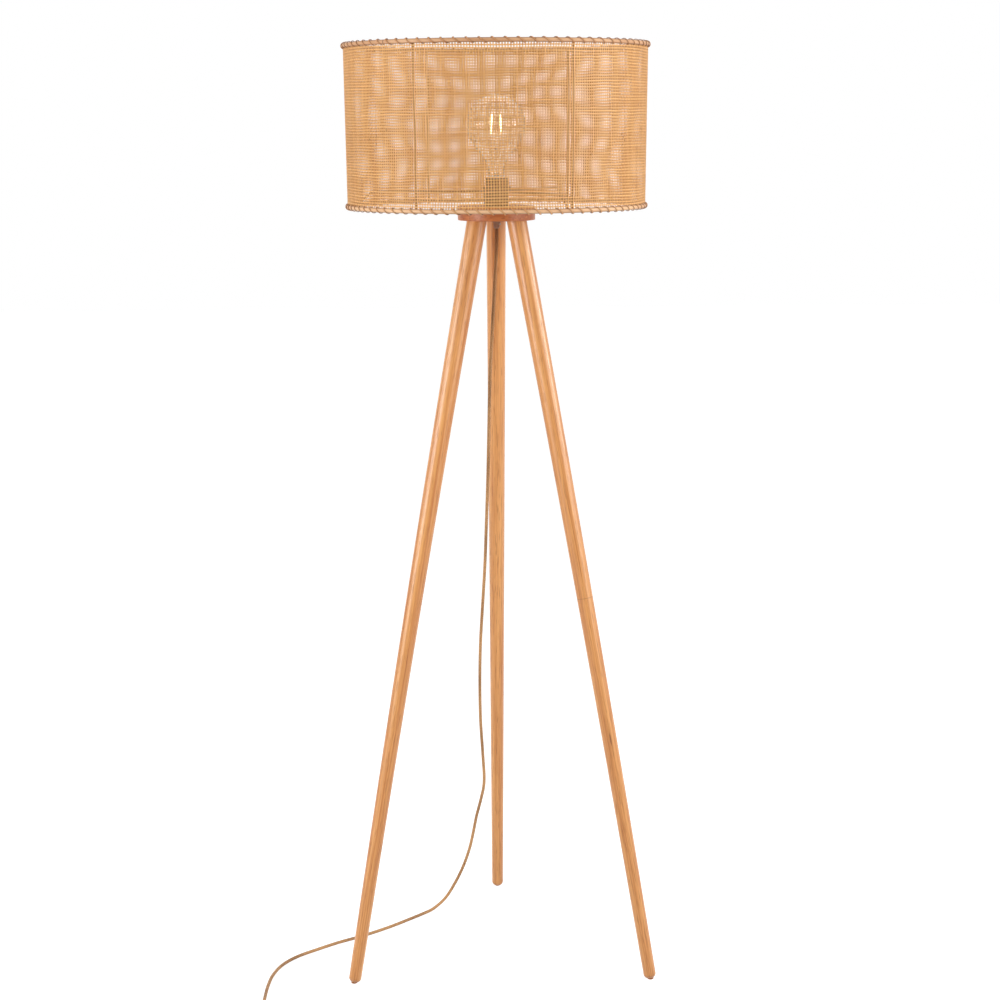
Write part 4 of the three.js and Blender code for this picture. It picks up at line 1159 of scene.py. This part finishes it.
glass = spun([*globe_outline(0), *reversed(globe_outline(glass_wall))], sides=72)
placed("globe_glass", glass, bulb_clear, "bulb_glass", "bulb_glass", body="bulb")
print("bulb", round(1000 * (bulb_top - bulb_cap_bottom)), "mm high")

# %% Screw cap, stem and filaments
thread_low = bulb_cap_bottom + 0.005
thread_radius, lip_radius, cap_bore = 0.0124, 0.0128, 0.0121
cap_top = neck_height - seat_gap
screw_cap = spun(eased(
    (0, bulb_cap_bottom), (0.0032, bulb_cap_bottom), (0.0048, bulb_cap_bottom + 0.0006),
    (0.0075, bulb_cap_bottom + 0.0024), (0.0118, thread_low - 0.0006), (thread_radius, thread_low + 0.0004),
    (thread_radius, cap_top - 0.0035), (lip_radius, cap_top - 0.0022), (lip_radius, cap_top, 0.0004),
    (cap_bore, cap_top), (cap_bore, thread_low + 0.0008), (0, thread_low - 0.0006),
), 64)
thread(screw_cap, thread_radius, thread_low + 0.0003, cap_top - 0.004, 0.00363, 0.00055)
placed("screw_cap", screw_cap, aluminium, "bulb_cap", "bulb_cap", body="bulb")

stem_low = neck_height - neck_in_cap / 2
filament_height, filament_radius, support_radius = 0.030, 0.0009, 0.0003
filament_foot_reach, filament_top_reach = 0.0126, 0.0092
filament_low = globe_centre + filament_radius - filament_height / 2
filament_high = filament_low + filament_height
hub_low = filament_high + 0.0006
flare_radius = neck_radius - glass_wall - seat_gap
stem_outline = [
    (0, stem_low), (flare_radius, stem_low), (flare_radius, stem_low + 0.001), (0.0072, stem_low + 0.0022),
    (0.0045, stem_low + 0.0050), (0.0028, stem_low + 0.009), (0.0025, filament_low - 0.004),
    (0.0032, filament_low - 0.002), (0.0022, filament_low + 0.001), (0.001, filament_low + 0.006),
    (0.001, hub_low), (0.0096, hub_low), (0.0101, hub_low + 0.0005), (0.0096, hub_low + 0.0012),
    (0, hub_low + 0.0012),
]
placed("glass_stem", spun(stem_outline, 40), bulb_clear, "bulb_glass", "bulb_stem", body="bulb")


def straight(start, end, steps):
    return [start.lerp(end, step / steps) for step in range(steps + 1)]


supports = bmesh.new()
rounded_ends = [0.45, 0.85, *[1] * 13, 0.85, 0.45]
for number in range(4):
    share = 1 / 9 + number / 4
    foot = at_turn(share, filament_foot_reach, filament_low)
    line = straight(foot, at_turn(share, filament_top_reach, filament_high), 16)
    placed(f"lit_filament_{number + 1}", tube(line, filament_radius, 3, rounded_ends), glow, "filament",
           f"filament_{number + 1}", body="bulb")
    rise = [at_turn(share, reach, filament_low - drop)
            for reach, drop in ((0.0022, 0.004), (0.0060, 0.0052), (0.0100, 0.0036))]
    supports.from_mesh(mesh_of(tube(smooth_line([*rise, foot], 5), support_radius, 1)))
placed("filament_supports", supports, zinc, "bulb_cap", body="bulb")
print("filaments", round(1000 * filament_height), "mm high")

# %% [markdown]
# ## The ring nut and the spider
# The shade hangs on a spider: a flat collar round the lampholder with three wire arms that run out to the
# bottom rim and bend down to it. A ring nut with finger flutes clamps the collar. Ribs of the same wire,
# inside the woven wall, hold the two rims apart, and they show through the weave as dark dotted lines.

# %% Ring nut, spider and ribs
spider_low, spider_bore = flange_top + seat_gap, barrel_radius + seat_gap
spider_high = spider_low + 0.0016
nut_low = spider_high + seat_gap
nut_high, nut_radius = nut_low + 0.006, spider_bore + 0.004
ring_nut = spun(eased(
    (spider_bore, nut_low), (nut_radius, nut_low, 0.0006), (nut_radius, nut_high, 0.0008),
    (spider_bore, nut_high, 0.0004),
), sides=144, closed=True)
flute(ring_nut, nut_radius - 0.001, 0.0007, 18)
placed("fluted_ring_nut", ring_nut, black_moulding, "black_plastic", "shade_ring_nut", body="ring_nut")

wire_radius, wire_inset, rib_radius, rib_inset = 0.0018, 0.0027, 0.0015, 0.00281
rib_turn_share, rib_count, arm_count = -1 / 180, 6, 3
collar_radius = spider_bore + 0.007
spider = spun(eased(
    (spider_bore, spider_low), (collar_radius, spider_low, 0.0003), (collar_radius, spider_high, 0.0003),
    (spider_bore, spider_high),
), 96, closed=True)
arm_start, arm_level, arm_drop = collar_radius - 0.0016, 0.02, 0.040
arm_height = (spider_low + spider_high) / 2
arm_tip = wall_radius(rim_bottom_height) - wire_inset - wire_radius - seat_gap
arm_line = [(arm_start, arm_height), (arm_start + arm_level, arm_height)]
for step in range(13):
    fall = (rim_bottom_height - arm_height) * (1 - math.cos(math.pi * step / 12)) / 2
    arm_line.append((arm_tip - arm_drop * (1 - step / 12), arm_height + fall))
for number in range(arm_count):
    share = rib_turn_share + (number + 0.5) / arm_count
    spider.from_mesh(mesh_of(tube([at_turn(share, *point) for point in arm_line], wire_radius, 3)))
placed("wire_spider", spider, frame_paint, "frame_wire", "shade_spider")

rib_clear = wire_radius + 2 * seat_gap
for number in range(rib_count):
    ends = [
        at_turn(rib_turn_share + number / rib_count, wall_radius(height) - rib_inset, height)
        for height in (rim_bottom_height + rib_clear, rim_top_height - rib_clear)
    ]
    placed(f"wire_rib_{number + 1}", tube(straight(*ends, 6), rib_radius, 3), frame_paint, "frame_wire",
           f"shade_rib_{number + 1}")
print("arms reach", round(arm_tip, 4), "m from the axis")

# %% [markdown]
# ## Rims
# Each rim is three rings that are bound together: a frame wire inside the wall, the edge of the wall itself,
# and a half-round hoop of cane outside. The wire and the hoop are spun outlines. The hoop carries a strip
# map as the weave does, so that its fibres run round the shade.

# %% Wires and hoops of the rims
hoop_inner, hoop_outer, hoop_half = 0.00062, 0.0030, 0.0034
rims = {"top": (rim_top_height, 78), "bottom": (rim_bottom_height, 84)}
for number, (end, (height, turns)) in enumerate(rims.items()):
    reach = wall_radius(height)
    ring = arc(reach - wire_inset, height, wire_radius, 0, 11 / 12, 11)
    placed("frame_wire_" + end, spun(ring, 200, closed=True), rim_paint, "frame_wire", "rim_wire_" + end)
    bulge = [
        (reach + hoop_inner + (hoop_outer - hoop_inner) * math.cos(full_turn * share),
         height + hoop_half * math.sin(full_turn * share))
        for share in (-0.25 + step / 20 for step in range(11))
    ]
    hoop = placed("cane_hoop_" + end, spun(bulge, 240, closed=True), rim_cane, "rim_cane", "rim_hoop_" + end)
    write_map(hoop, lambda place: (
        math.atan2(place.y, place.x) * reach, strip_level(8000 + number, (place.z - height) / (2 * hoop_half))
    ))
print("hoops", round(2000 * hoop_half, 1), "mm high")

# %% [markdown]
# ## The lashing
# One unbroken strip of split cane winds round the wire, the wall's edge and the hoop, 78 times at the top and
# 84 times at the bottom. It is the most skilled piece of work on the lamp. One wrap is a ribbon that is spun
# round the rim's own line: a spin makes it circular, a scale makes it oval, and each step moves on along the
# rim, faster on the outside and the inside than over the top. Then it is bent to the rim and repeated.

# %% Wind the lashings
lashing_width, lashing_thickness, lashing_crown = 0.0027, 0.0006, 0.07
lashing_out, lashing_half_out, lashing_half_up = -0.0007, 0.0041, 0.0042
lashing_steps, lashing_sway, wrap_length = 24, 0.8, 0.035


def run_along(share):
    """How far a wrap has moved on along the rim after a share of its way round, as a share of the pitch."""
    return share - lashing_sway * math.sin(2 * full_turn * share) / (2 * full_turn)


def one_wrap(radius, height, pitch):
    """The ribbon of one wrap at the lamp's right, from the top of the rim round to the top again."""
    bm = bmesh.new()
    ribbon = drawn(bm, [
        (0, across * lashing_width, 1 + crown) for across, crown in ((-0.5, 0), (0, lashing_crown), (0.5, 0))
    ])
    bmesh.ops.spin(bm, geom=ribbon, cent=(0, 0, 0), axis=(0, 1, 0), angle=full_turn, steps=lashing_steps)
    for place, corner in enumerate(bm.verts):
        out, across, up = corner.co
        angle = (across + pitch * run_along(place // 3 / lashing_steps)) / radius
        reach = radius + lashing_out + lashing_half_out * out
        bent = (reach * math.cos(angle), reach * math.sin(angle), height + lashing_half_up * up)
        corner.co = axis + Vector(bent)
    return bm


for number, (end, (height, turns)) in enumerate(rims.items()):
    radius = wall_radius(height)
    pitch = full_turn * radius / turns
    bm = one_wrap(radius, height, pitch)
    repeat_round(bm, turns, full_turn / turns)
    bmesh.ops.remove_doubles(bm, verts=bm.verts, dist=2e-5)
    give_thickness(bm, lashing_thickness, lambda place: Vector((0, 0, place.z - height)))
    lashing = placed("cane_lashing_" + end, bm, lashing_cane, "rim_cane", "rim_lashing_" + end)

    def lashing_map(place):
        """Along the strip by wraps, and across it by the distance from its middle."""
        out = (math.hypot(place.x, place.y) - radius - lashing_out) / lashing_half_out
        share = math.atan2(out, (place.z - height) / lashing_half_up) / full_turn % 1
        wraps = math.atan2(place.y, place.x) * turns / full_turn - run_along(share)
        across = (wraps - round(wraps)) * pitch / lashing_width
        return (round(wraps) + share) * wrap_length, strip_level(8100 + number, across)

    write_map(lashing, lashing_map)
    print(lashing.name, turns, "wraps", len(lashing.data.polygons), "faces")

# %% [markdown]
# ## The foot switch
# On the floor the cord passes through a foot switch: a base, a cover with a round hole, and a button that is
# pressed with the toes. The rounded outline is a square whose corners are bevelled. The cover's top is a
# bridge between that outline and the circle of the hole, and an extrusion gives it its depth. The cord's
# sleeves on both sides taper, so that it can't kink there.

# %% Foot switch
switch_outline = (0.030, 0.066, 0.009)
switch_edge, corner_steps = 0.0015, 8
switch_centre = Vector((switch_x, (switch_low.y + switch_high.y) / 2, 0))
cover_bottom = switch_high.z + seat_gap
cover_top = cover_bottom + 0.0095
button_radius, button_travel, button_proud, button_rounding = 0.010, 0.003, 0.004, 0.0016


def rounded_outline(width, length, corner, centre=(0, 0, 0), filled=True):
    """A flat face with rounded corners, or only its outline, as a new bmesh."""
    bm = bmesh.new()
    made = bmesh.ops.create_grid(bm, x_segments=1, y_segments=1, size=0.5)["verts"]
    bmesh.ops.scale(bm, verts=made, vec=(width, length, 1))
    bmesh.ops.bevel(
        bm, geom=made, offset=corner, segments=corner_steps, profile=0.5, material=-1, affect="VERTICES"
    )
    bmesh.ops.translate(bm, verts=bm.verts, vec=centre)
    if not filled:
        bmesh.ops.delete(bm, geom=bm.faces[:], context="FACES_ONLY")
    return bm


def thickened(bm, height):
    """Pull flat faces up into a solid of a height."""
    pulled(bm, bmesh.ops.extrude_face_region, (0, 0, height), geom=bm.faces[:])


base = rounded_outline(*switch_outline, switch_centre)
thickened(base, switch_high.z)
soften(base, 0.001, 3)
switch_base = placed("foot_switch_base", base, black_moulding, "black_plastic", "switch_base")

cover = rounded_outline(*switch_outline, switch_centre, filled=False)
bmesh.ops.create_circle(
    cover, cap_ends=False, segments=len(cover.verts), radius=button_radius + seat_gap,
    matrix=Matrix.Translation(switch_centre),
)
bmesh.ops.bridge_loops(cover, edges=cover.edges[:])
bmesh.ops.translate(cover, verts=cover.verts, vec=(0, 0, cover_bottom))
thickened(cover, cover_top - cover_bottom)
soften(cover, switch_edge, 4, math.radians(50))
switch_cover = placed("foot_switch_cover", cover, black_moulding, "black_plastic", "switch_cover")

button_bottom, button_top = cover_bottom + button_travel, cover_top + button_proud
button_side_top = button_top - button_rounding
button_outline = [
    (0, button_bottom), (button_radius, button_bottom), (button_radius, button_side_top),
    *arc(button_radius - button_rounding, button_side_top, button_rounding, 0.02, 0.22, 5),
    (0.0072, button_top - 0.0003), (0.0062, button_top - 0.0006), (0, button_top - 0.0012),
]
button = placed("foot_switch_button", spun(button_outline, 64, switch_centre), button_moulding,
                "button_plastic", "switch_button", body="button")
print("switch cover", len(switch_cover.data.polygons), "faces")

# %% Sleeves of the cord
sleeve_thin, groove_depth = 0.0034, 0.12


def sleeve(name, line, thick):
    """A tapered, grooved sleeve that follows the cord's line from a housing outwards."""
    steps = evenly(line, 0.0006)
    shares = []
    for step in range(len(steps)):
        along = step / (len(steps) - 1)
        grooved = step % 5 in (3, 4) and 0.12 < along < 0.9
        shares.append((1 + (sleeve_thin / thick - 1) * along) * (1 - groove_depth * grooved))
    print(name, round(1000 * length_of(steps), 1), "mm long")
    return placed(name, tube(steps, thick, 4, shares), black_moulding, "black_plastic")


def near(point, reach, side=0):
    """The cord's line within a reach of a point, outwards, and on one side of it along the second axis."""
    part = [place for place in cord_line if (place - point).length < reach]
    part = part if (part[0] - point).length < (part[-1] - point).length else part[::-1]
    return [place for place in part if side * (place.y - point.y) > -0.001]


sleeves = [
    sleeve("sleeve_behind_switch", near(switch_back, 0.026, 1), 0.0048),
    sleeve("sleeve_before_switch", near(switch_front, 0.026, -1), 0.0048),
]

# %% [markdown]
# ## The plug
# The plug is a flat moulded body with rounded edges, drawn out at the back into a neck for the cord, and two
# flat brass blades. The neck comes out of the back face by two extrusions that each make it smaller, and a
# tapered sleeve carries on from it along the cord.

# %% Plug
plug_width, plug_length, plug_back_share = 0.024, 0.028, 0.35
plug_back_y = plug_high.y - plug_length * (1 - plug_back_share)
body_size = Vector((plug_width, plug_high.y - plug_back_y, plug_high.z - plug_low.z))
body_middle = Vector((plug_middle.x, (plug_high.y + plug_back_y) / 2, plug_middle.z))
plug = bmesh.new()
bmesh.ops.create_cube(plug, size=1)
bmesh.ops.scale(plug, verts=plug.verts, vec=body_size)
bmesh.ops.translate(plug, verts=plug.verts, vec=body_middle)
back_face = min(plug.faces, key=lambda face: face.calc_center_median().y)
for back, wide, high in ((0.0045, 0.66, 0.78), (0.0050, 0.62, 0.76)):
    back_face = bmesh.ops.extrude_discrete_faces(plug, faces=[back_face])["faces"][0]
    bmesh.ops.translate(plug, verts=back_face.verts, vec=(0, -back, 0))
    to_middle = Matrix.Translation(-back_face.calc_center_median())
    bmesh.ops.scale(plug, verts=back_face.verts, vec=(wide, 1, high), space=to_middle)
soften(plug, 0.0022, 4, math.radians(20))
bmesh.ops.recalc_face_normals(plug, faces=plug.faces)
plug_piece = placed("moulded_plug", plug, plug_moulding, "plug_plastic", "plug_body")
neck_end = Vector((plug_middle.x, plug_back_y - 0.006, plug_middle.z))
plug_sleeve = sleeve("sleeve_of_plug", near(neck_end, 0.027), 0.0046)
plug_blades = ["plug_blade_left", "plug_blade_right"]
dress(brass, *plug_blades)
print("plug", round(1000 * plug_length), "mm long")

# %% [markdown]
# ## The tie
# A strap of woven tape holds the coil together. It is a flat band that goes round all the turns and ends on
# top of itself. The band is the outline of a rounded rectangle, pulled to its width and thickened.

# %% Tie round the coil
tie_thickness, tie_width, tie_turn_share, tape_repeat = 0.0008, 0.009, 0.21, 0.6
tie_corner = cord_radius + seat_gap
tie_inner = coil_outer_radius - coil_pitch * coil_turns_per_layer - tie_corner
tie_outer = coil_outer_radius + tie_corner
tie_height = coil_pitch + cord_diameter + 2 * seat_gap
tie_place = (
    Matrix.Translation(axis + coil_centre) @ turned(tie_turn_share)
    @ Matrix.Translation(((tie_inner + tie_outer) / 2, tie_width / 2, tie_height / 2 + tie_thickness))
    @ turned(1 / 4, "X")
)
tie = rounded_outline(tie_outer - tie_inner, tie_height, tie_corner, filled=False)
pulled(tie, bmesh.ops.extrude_edge_only, (0, 0, tie_width), edges=tie.edges[:])
give_thickness(tie, tie_thickness, lambda place: place - Vector((0, 0, tie_width / 2)))

end_piece = rounded_outline(0.017, tie_width * 0.96, 0.0025)
thickened(end_piece, 0.0007)
on_top = Matrix.Translation((0.003, tie_height / 2 + tie_thickness, tie_width / 2)) @ turned(-1 / 4, "X")
bmesh.ops.transform(end_piece, verts=end_piece.verts, matrix=on_top)
tie.from_mesh(mesh_of(end_piece))
tape_map = tie.loops.layers.uv.new("strip")
for face in tie.faces:
    for loop in face.loops:
        x, y, z = loop.vert.co
        loop[tape_map].uv = (x + y, z / tie_width * tape_repeat)
bmesh.ops.transform(tie, verts=tie.verts, matrix=tie_place)
tie_piece = placed("strap_round_coil", tie, tie_fabric, "tie", "cord_tie")
print("tie", round(1000 * tie_width), "mm wide")

# %% [markdown]
# ## The cord
# The cord is one tube along its route. Its braid follows it because the tube's map has metres along and turns
# around. The pieces that sit on it are gathered into a list.

# %% The cord
cord_pieces = [switch_base, switch_cover, button, *sleeves, plug_piece, plug_sleeve, tie_piece]
cord_pieces += [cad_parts[name] for name in plug_blades]
cord = placed("braided_cord", tube(cord_line, cord_radius), cord_braid, "cord_fabric",
              "cord_drop", "cord_tail", "cord_coil")
inner_line = [Vector((axis.x, axis.y, end.z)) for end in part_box("cord_in_stem")]
inner_cord = tube(evenly(inner_line, 0.004), cord_radius)
placed("cord_inside_stem", inner_cord, cord_braid, "cord_fabric", "cord_in_stem")
print("cord", round(cord_length, 3), "m")

# %% [markdown]
# ## Hardware that keeps its shape
# Bolts, inserts, nuts, the socket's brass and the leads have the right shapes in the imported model. They only
# get their finishes.

# %% Dress the hardware
dress(zinc, "stem_nipple", "lock_nut", "lock_washer", *("leg_bolt_" + side for side in leg_turns))
dress(brass, "screw_shell", "centre_contact", "terminal_screw_live", "terminal_screw_neutral",
      *("leg_insert_" + side for side in leg_turns))
dress(porcelain, "holder_core")
dress(dark_insulation, "lead_live")
dress(pale_insulation, "lead_neutral")
print("dressed", sum(node.type == "MESH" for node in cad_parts.values()), "nodes in all")

# %% [markdown]
# ## Floor and light
# The photograph is a studio cut-out on pure white. A big pale floor stands in for the paper, and it keeps the
# lamp's soft shadow. Camera rays, and rays that glass and gloss send on, see it and the world as white. The
# lamp itself is lit at a plain level by a dim white world and large soft lights, so that a colour renders
# about as it is written. The two big ones stand low at the front corners: where their reflections run down
# the legs in the photograph gives their heights.

# %% Floor, world and lights
white = (1, 1, 1, 1)
ambient_strength, paper_strength = 0.25, 0.85
floor_bm = bmesh.new()
bmesh.ops.create_grid(floor_bm, x_segments=4, y_segments=4, size=12)
floor = shown("floor", mesh_of(floor_bm, "floor"))


def seen_directly(tree):
    """1 for camera rays and for what gloss and glass send on, otherwise 0."""
    camera_ray, glossy, through = (
        add(tree, "LightPath", output=f"Is {kind} Ray") for kind in ("Camera", "Glossy", "Transmission")
    )
    return maths("MAXIMUM", maths("MAXIMUM", camera_ray, glossy), through)


paper_tone = tones(paper=(190, 190, 190))["paper"]
paper, paper_tree, paper_shader = new_material(
    "paper", Base_Color=paper_tone, Roughness=0.9, Emission_Color=white
)
feed(paper_shader.inputs, {"Emission Strength": seen_directly(paper_tree) * paper_strength})
floor.data.materials.append(paper)

scene.world = bpy.data.worlds.new("studio")
scene.world.use_nodes = True
room = scene.world.node_tree
strength = spread(seen_directly(room), 0, 1, ambient_strength, 1.0)
feed(room.nodes["Background"].inputs, {"Color": white, "Strength": strength})

for name, place, target, width, height, power in (
    ("key_left", (-2.7, -1.8, 1.25), (0, 0, 1.2), 1.8, 1.0, 56),
    ("key_right", (2.7, -1.9, 1.5), (0, 0, 1.2), 1.6, 1.6, 38),
    ("side_right", (2.7, -0.4, 1.7), (0.2, 0, 1.4), 0.8, 1.0, 40),
    ("side_left", (-2.7, -0.4, 1.7), (-0.2, 0, 1.4), 0.8, 1.0, 14),
    ("top", (0, -1.8, 3.3), (0, 0, 1.3), 2.0, 1.2, 18),
    ("back", (0.3, 2.6, 2.2), (0, 0, 0.9), 2.0, 1.5, 8),
):
    light = bpy.data.lights.new(name, "AREA")
    light.shape = "RECTANGLE"
    light.size, light.size_y, light.energy = width, height, power
    holder = shown(name, light)
    holder.location = place
    holder.rotation_mode = "QUATERNION"
    holder.rotation_quaternion = (Vector(target) - Vector(place)).to_track_quat("-Z", "Y")
print("lights:", [light.name for light in bpy.data.lights])
